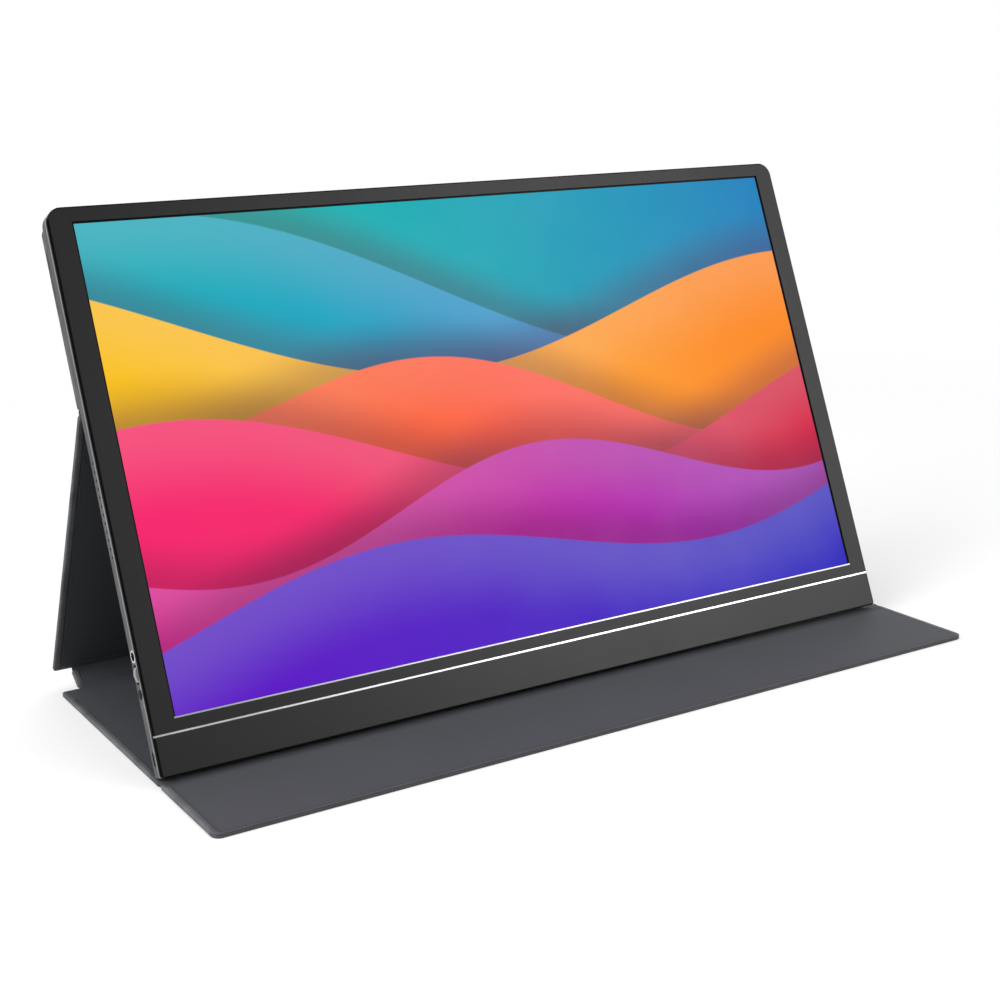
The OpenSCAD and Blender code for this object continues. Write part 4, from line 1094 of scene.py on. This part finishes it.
class FOLIO_OT_display_stack(bpy.types.Operator):
    """Finishes the sheets, the lamps and the tray behind the screen"""
    bl_idname = "folio.display_stack"
    bl_label = "Display stack"
    bl_options = {"REGISTER", "UNDO"}

    def execute(self, context):
        dress(film_sheet("diffusing_film", (0.86, 0.86, 0.84), 0.5, 0.0008, 0.15), "diffuser_films")
        dress(film_sheet("guide_acrylic", (0.74, 0.80, 0.82), 0.12, 0.0016, 0.6), "light_guide")
        dress(film_sheet("reflecting_film", (0.90, 0.90, 0.90), 0.3, 0.003, 0.1), "reflector_sheet")
        dress(marked_sheet("lamps", (0.85, 0.85, 0.83), small_lamps, LAMP_TINT, 1.0, 0.00005, shade=0.03,
                           gloss=0.35), "led_strip")
        dress(metal("tray_sheet", (0.62, 0.62, 0.64), gloss=0.34), "display_tray")
        return {"FINISHED"}


class FOLIO_OT_electronics(bpy.types.Operator):
    """Finishes the boards, the ribbons, the chip and its shield"""
    bl_idname = "folio.electronics"
    bl_label = "Electronics"
    bl_options = {"REGISTER", "UNDO"}

    def execute(self, context):
        colours = context.scene.folio_colours
        dress(circuit_board("board_lacquer", colours.board), "main_board", "control_board", "driver_board")
        dress(marked_sheet("ribbon", colours.ribbon, copper_lines, COPPER_TINT, 0.5, 0.00002),
              "driver_ribbon", "control_ribbon")
        dress(plastic("chip_package", (0.02, 0.02, 0.022), size=0.0002, gloss=0.5), "picture_chip")
        dress(metal("shield_tin", (0.66, 0.66, 0.68), gloss=0.28), "shield_cover")
        return {"FINISHED"}


class FOLIO_OT_fittings(bpy.types.Operator):
    """Finishes the sockets, speakers, switches, screws, plates and magnets"""
    bl_idname = "folio.fittings"
    bl_label = "Fittings"
    bl_options = {"REGISTER", "UNDO"}

    def execute(self, context):
        colours = context.scene.folio_colours
        dress(metal("socket_sheet", colours.steel, gloss=0.25, mark_length=0.002, shade=0.06),
              "usb_c_socket_upper", "usb_c_socket_lower", "mini_video_socket")
        dress(plastic("speaker_plastic", colours.dark, size=0.0006, gloss=0.6),
              "speaker_left", "speaker_right")
        dress(plastic("switch_plastic", colours.dark, size=0.0003, gloss=0.45),
              "power_switch", "rocker_switch")
        dress(metal("screw_zinc", colours.steel, gloss=0.3, mark_length=0.0008), "board_screws")
        dress(metal("screw_black", (0.035, 0.035, 0.037), gloss=0.4, mark_length=0.0008, metallic=0.6),
              "case_screws")
        dress(metal("plate_sheet", colours.steel, gloss=0.38), "holding_plates")
        dress(metal("magnet_nickel", (0.66, 0.66, 0.64), gloss=0.16, mark_length=0.001, shade=0.04),
              "cover_magnets")
        return {"FINISHED"}


class FOLIO_OT_cover_boards(bpy.types.Operator):
    """Finishes the stiff boards inside the cover"""
    bl_idname = "folio.cover_boards"
    bl_label = "Cover boards"
    bl_options = {"REGISTER", "UNDO"}

    def execute(self, context):
        boards = [name + "_board" for name in PANELS]
        dress(card_board("cover_card", context.scene.folio_colours.card), *boards)
        return {"FINISHED"}


FLOOR_RADIUS = 3.0
FLOOR_FADE = (0.42, 1.0)  # distances from the origin between which the floor turns plain white
LAMP_AIM = (0.0, 0.03, 0.08)
# lamp: its place, its width and height, the setting of its power, and whether it lights things or only shows
# in reflections
LAMPS = {
    "key_lamp": ((-1.35, -0.2, 1.0), (0.9, 0.9), "key", True),
    "front_lamp": ((-0.35, -1.6, 0.55), (1.0, 0.8), "front", True),
    "side_lamp": ((0.92, -1.3, 0.78), (0.9, 0.9), "side", True),
    "shine_lamp": ((1.1, -1.3, 0.9), (0.6, 1.1), "shine", False),
    "top_lamp": ((0.1, 0.2, 1.4), (1.2, 1.2), "top", True),
}


def shows_white(t):
    """1 for what is seen, also in reflections and through glass, and 0 for what lights things."""
    rays = t.add("LightPath").outputs
    return t.calc("MAXIMUM", rays["Is Camera Ray"],
                  t.calc("MAXIMUM", rays["Is Glossy Ray"], rays["Is Transmission Ray"]))


def studio_floor(settings):
    """Round pale floor, as rings round the origin. It keeps the object's shadow, fades to plain white far
    from the object, and throws back less light than it shows."""
    radius = np.linspace(0.0, 1.0, 40) ** 1.5 * FLOOR_RADIUS + 0.01
    angle = np.linspace(0, 2 * math.pi, 97)[:-1]
    x, y = radius[:, None] * np.cos(angle), radius[:, None] * np.sin(angle)
    floor = closed_rings("floor", np.stack([x, y, np.full_like(x, -HAIR)], axis=-1), close_last=False)
    floor.data.polygons.foreach_set("use_smooth", np.zeros(len(floor.data.polygons), bool))
    material = bpy.data.materials.new("floor_white")
    t = bare_tree(material)
    paint = t.add("BsdfDiffuse", {"Color": rgba([settings.floor] * 3)})
    bounce = t.add("BsdfDiffuse", {"Color": rgba([settings.floor_bounce] * 3)})
    lift = t.add("Emission", {"Color": WHITE, "Strength": settings.floor_lift})
    white = t.add("Emission", {"Color": WHITE, "Strength": 1.0})
    lifted = t.add("AddShader", {0: paint.outputs[0], 1: lift.outputs[0]})
    away = t.add("VectorMath", {0: own_place(t)}, operation="LENGTH").outputs["Value"]
    far = t.fit(away, *FLOOR_FADE, smooth=True)
    seen = t.add("MixShader", {0: far, 1: lifted.outputs[0], 2: white.outputs[0]})
    both = t.add("MixShader", {0: shows_white(t), 1: bounce.outputs[0], 2: seen.outputs[0]})
    t.feed(t.add("OutputMaterial").inputs["Surface"], both.outputs[0])
    floor.data.materials.append(material)


def studio_sky(scene, settings):
    """Pale light, stronger from above, that shows as plain white by itself and in reflections."""
    world = bpy.data.worlds.new("studio")
    scene.world = world
    t = bare_tree(world)
    up = t.split(t.add("TexCoord").outputs["Generated"])[2]
    strength = t.fit(up, 0.0, 1.0, settings.sky_low, settings.sky_high)
    lit = t.add("Background", {"Color": WHITE, "Strength": strength})
    seen = t.add("Background", {"Color": WHITE, "Strength": 1.0})
    both = t.add("MixShader", {0: shows_white(t), 1: lit.outputs[0], 2: seen.outputs[0]})
    t.feed(t.add("OutputWorld").inputs["Surface"], both.outputs[0])


def soft_lamp(scene, name, place, size, power, lights):
    """Large soft lamp that looks at the object. Without lights it only shows in reflections."""
    lamp = bpy.data.lights.new(name, "AREA")
    lamp.shape = "RECTANGLE"
    lamp.size, lamp.size_y = size
    lamp.energy = power
    holder = bpy.data.objects.new(name, lamp)
    look = np.array(LAMP_AIM) - np.array(place)
    holder.location = place
    holder.rotation_euler = (math.atan2(math.hypot(look[0], look[1]), -look[2]), 0.0,
                             math.atan2(look[0], -look[1]) + math.pi)
    holder.visible_diffuse = lights
    scene.collection.objects.link(holder)


def studio_camera(scene, settings):
    """Camera where the photograph was taken from: turned to the right by its azimuth, down by its elevation,
    and rolled about its own line of sight."""
    data = bpy.data.cameras.new("camera")
    data.sensor_width = 36.0
    data.lens = settings.lens
    data.clip_start, data.clip_end = 0.01, 20.0
    camera = bpy.data.objects.new("camera", data)
    camera.location = settings.camera_place
    azimuth = Matrix.Rotation(-settings.azimuth, 3, "Z")
    elevation = Matrix.Rotation(math.pi / 2 - settings.elevation, 3, "X")
    camera.rotation_euler = (azimuth @ elevation @ Matrix.Rotation(settings.roll, 3, "Z")).to_euler()
    scene.collection.objects.link(camera)
    scene.camera = camera


class FOLIO_OT_studio(bpy.types.Operator):
    """Sets up the floor, the sky, the lamps and the camera"""
    bl_idname = "folio.studio"
    bl_label = "Studio"
    bl_options = {"REGISTER", "UNDO"}

    def execute(self, context):
        scene = context.scene
        settings = scene.folio_studio
        studio_floor(settings)
        studio_sky(scene, settings)
        for name, (place, size, power, lights) in LAMPS.items():
            soft_lamp(scene, name, place, size, getattr(settings, power), lights)
        studio_camera(scene, settings)
        scene.view_settings.view_transform = "Standard"
        return {"FINISHED"}


OPERATORS = (FOLIO_OT_skins, FOLIO_OT_linings, FOLIO_OT_folds, FOLIO_OT_casing, FOLIO_OT_screen,
             FOLIO_OT_controls, FOLIO_OT_display_stack, FOLIO_OT_electronics, FOLIO_OT_fittings,
             FOLIO_OT_cover_boards, FOLIO_OT_studio)
SETTINGS = {"folio_cover": CoverSizes, "folio_casing": CasingSizes, "folio_colours": ObjectColours,
            "folio_studio": StudioSettings}


class FOLIO_PT_sidebar(bpy.types.Panel):
    """Lists the builders and their settings"""
    bl_idname = "FOLIO_PT_sidebar"
    bl_label = "Folio monitor"
    bl_space_type = "VIEW_3D"
    bl_region_type = "UI"
    bl_category = "Folio"

    def draw(self, context):
        for operator in OPERATORS:
            self.layout.operator(operator.bl_idname)
        for name, group in SETTINGS.items():
            box = self.layout.box()
            box.label(text=group.__doc__)
            for key in group.__annotations__:
                box.prop(getattr(context.scene, name), key)


def register():
    for group in SETTINGS.values():
        bpy.utils.register_class(group)
    for name, group in SETTINGS.items():
        setattr(bpy.types.Scene, name, PointerProperty(type=group))
    for kind in (*OPERATORS, FOLIO_PT_sidebar):
        bpy.utils.register_class(kind)


def unregister():
    for kind in reversed((*OPERATORS, FOLIO_PT_sidebar)):
        bpy.utils.unregister_class(kind)
    for name in SETTINGS:
        delattr(bpy.types.Scene, name)
    for group in reversed(list(SETTINGS.values())):
        bpy.utils.unregister_class(group)


def main():
    """Builds everything."""
    register()
    for operator in OPERATORS:
        getattr(bpy.ops.folio, operator.bl_idname.split(".")[1])()


if __name__ == "__main__":
    main()
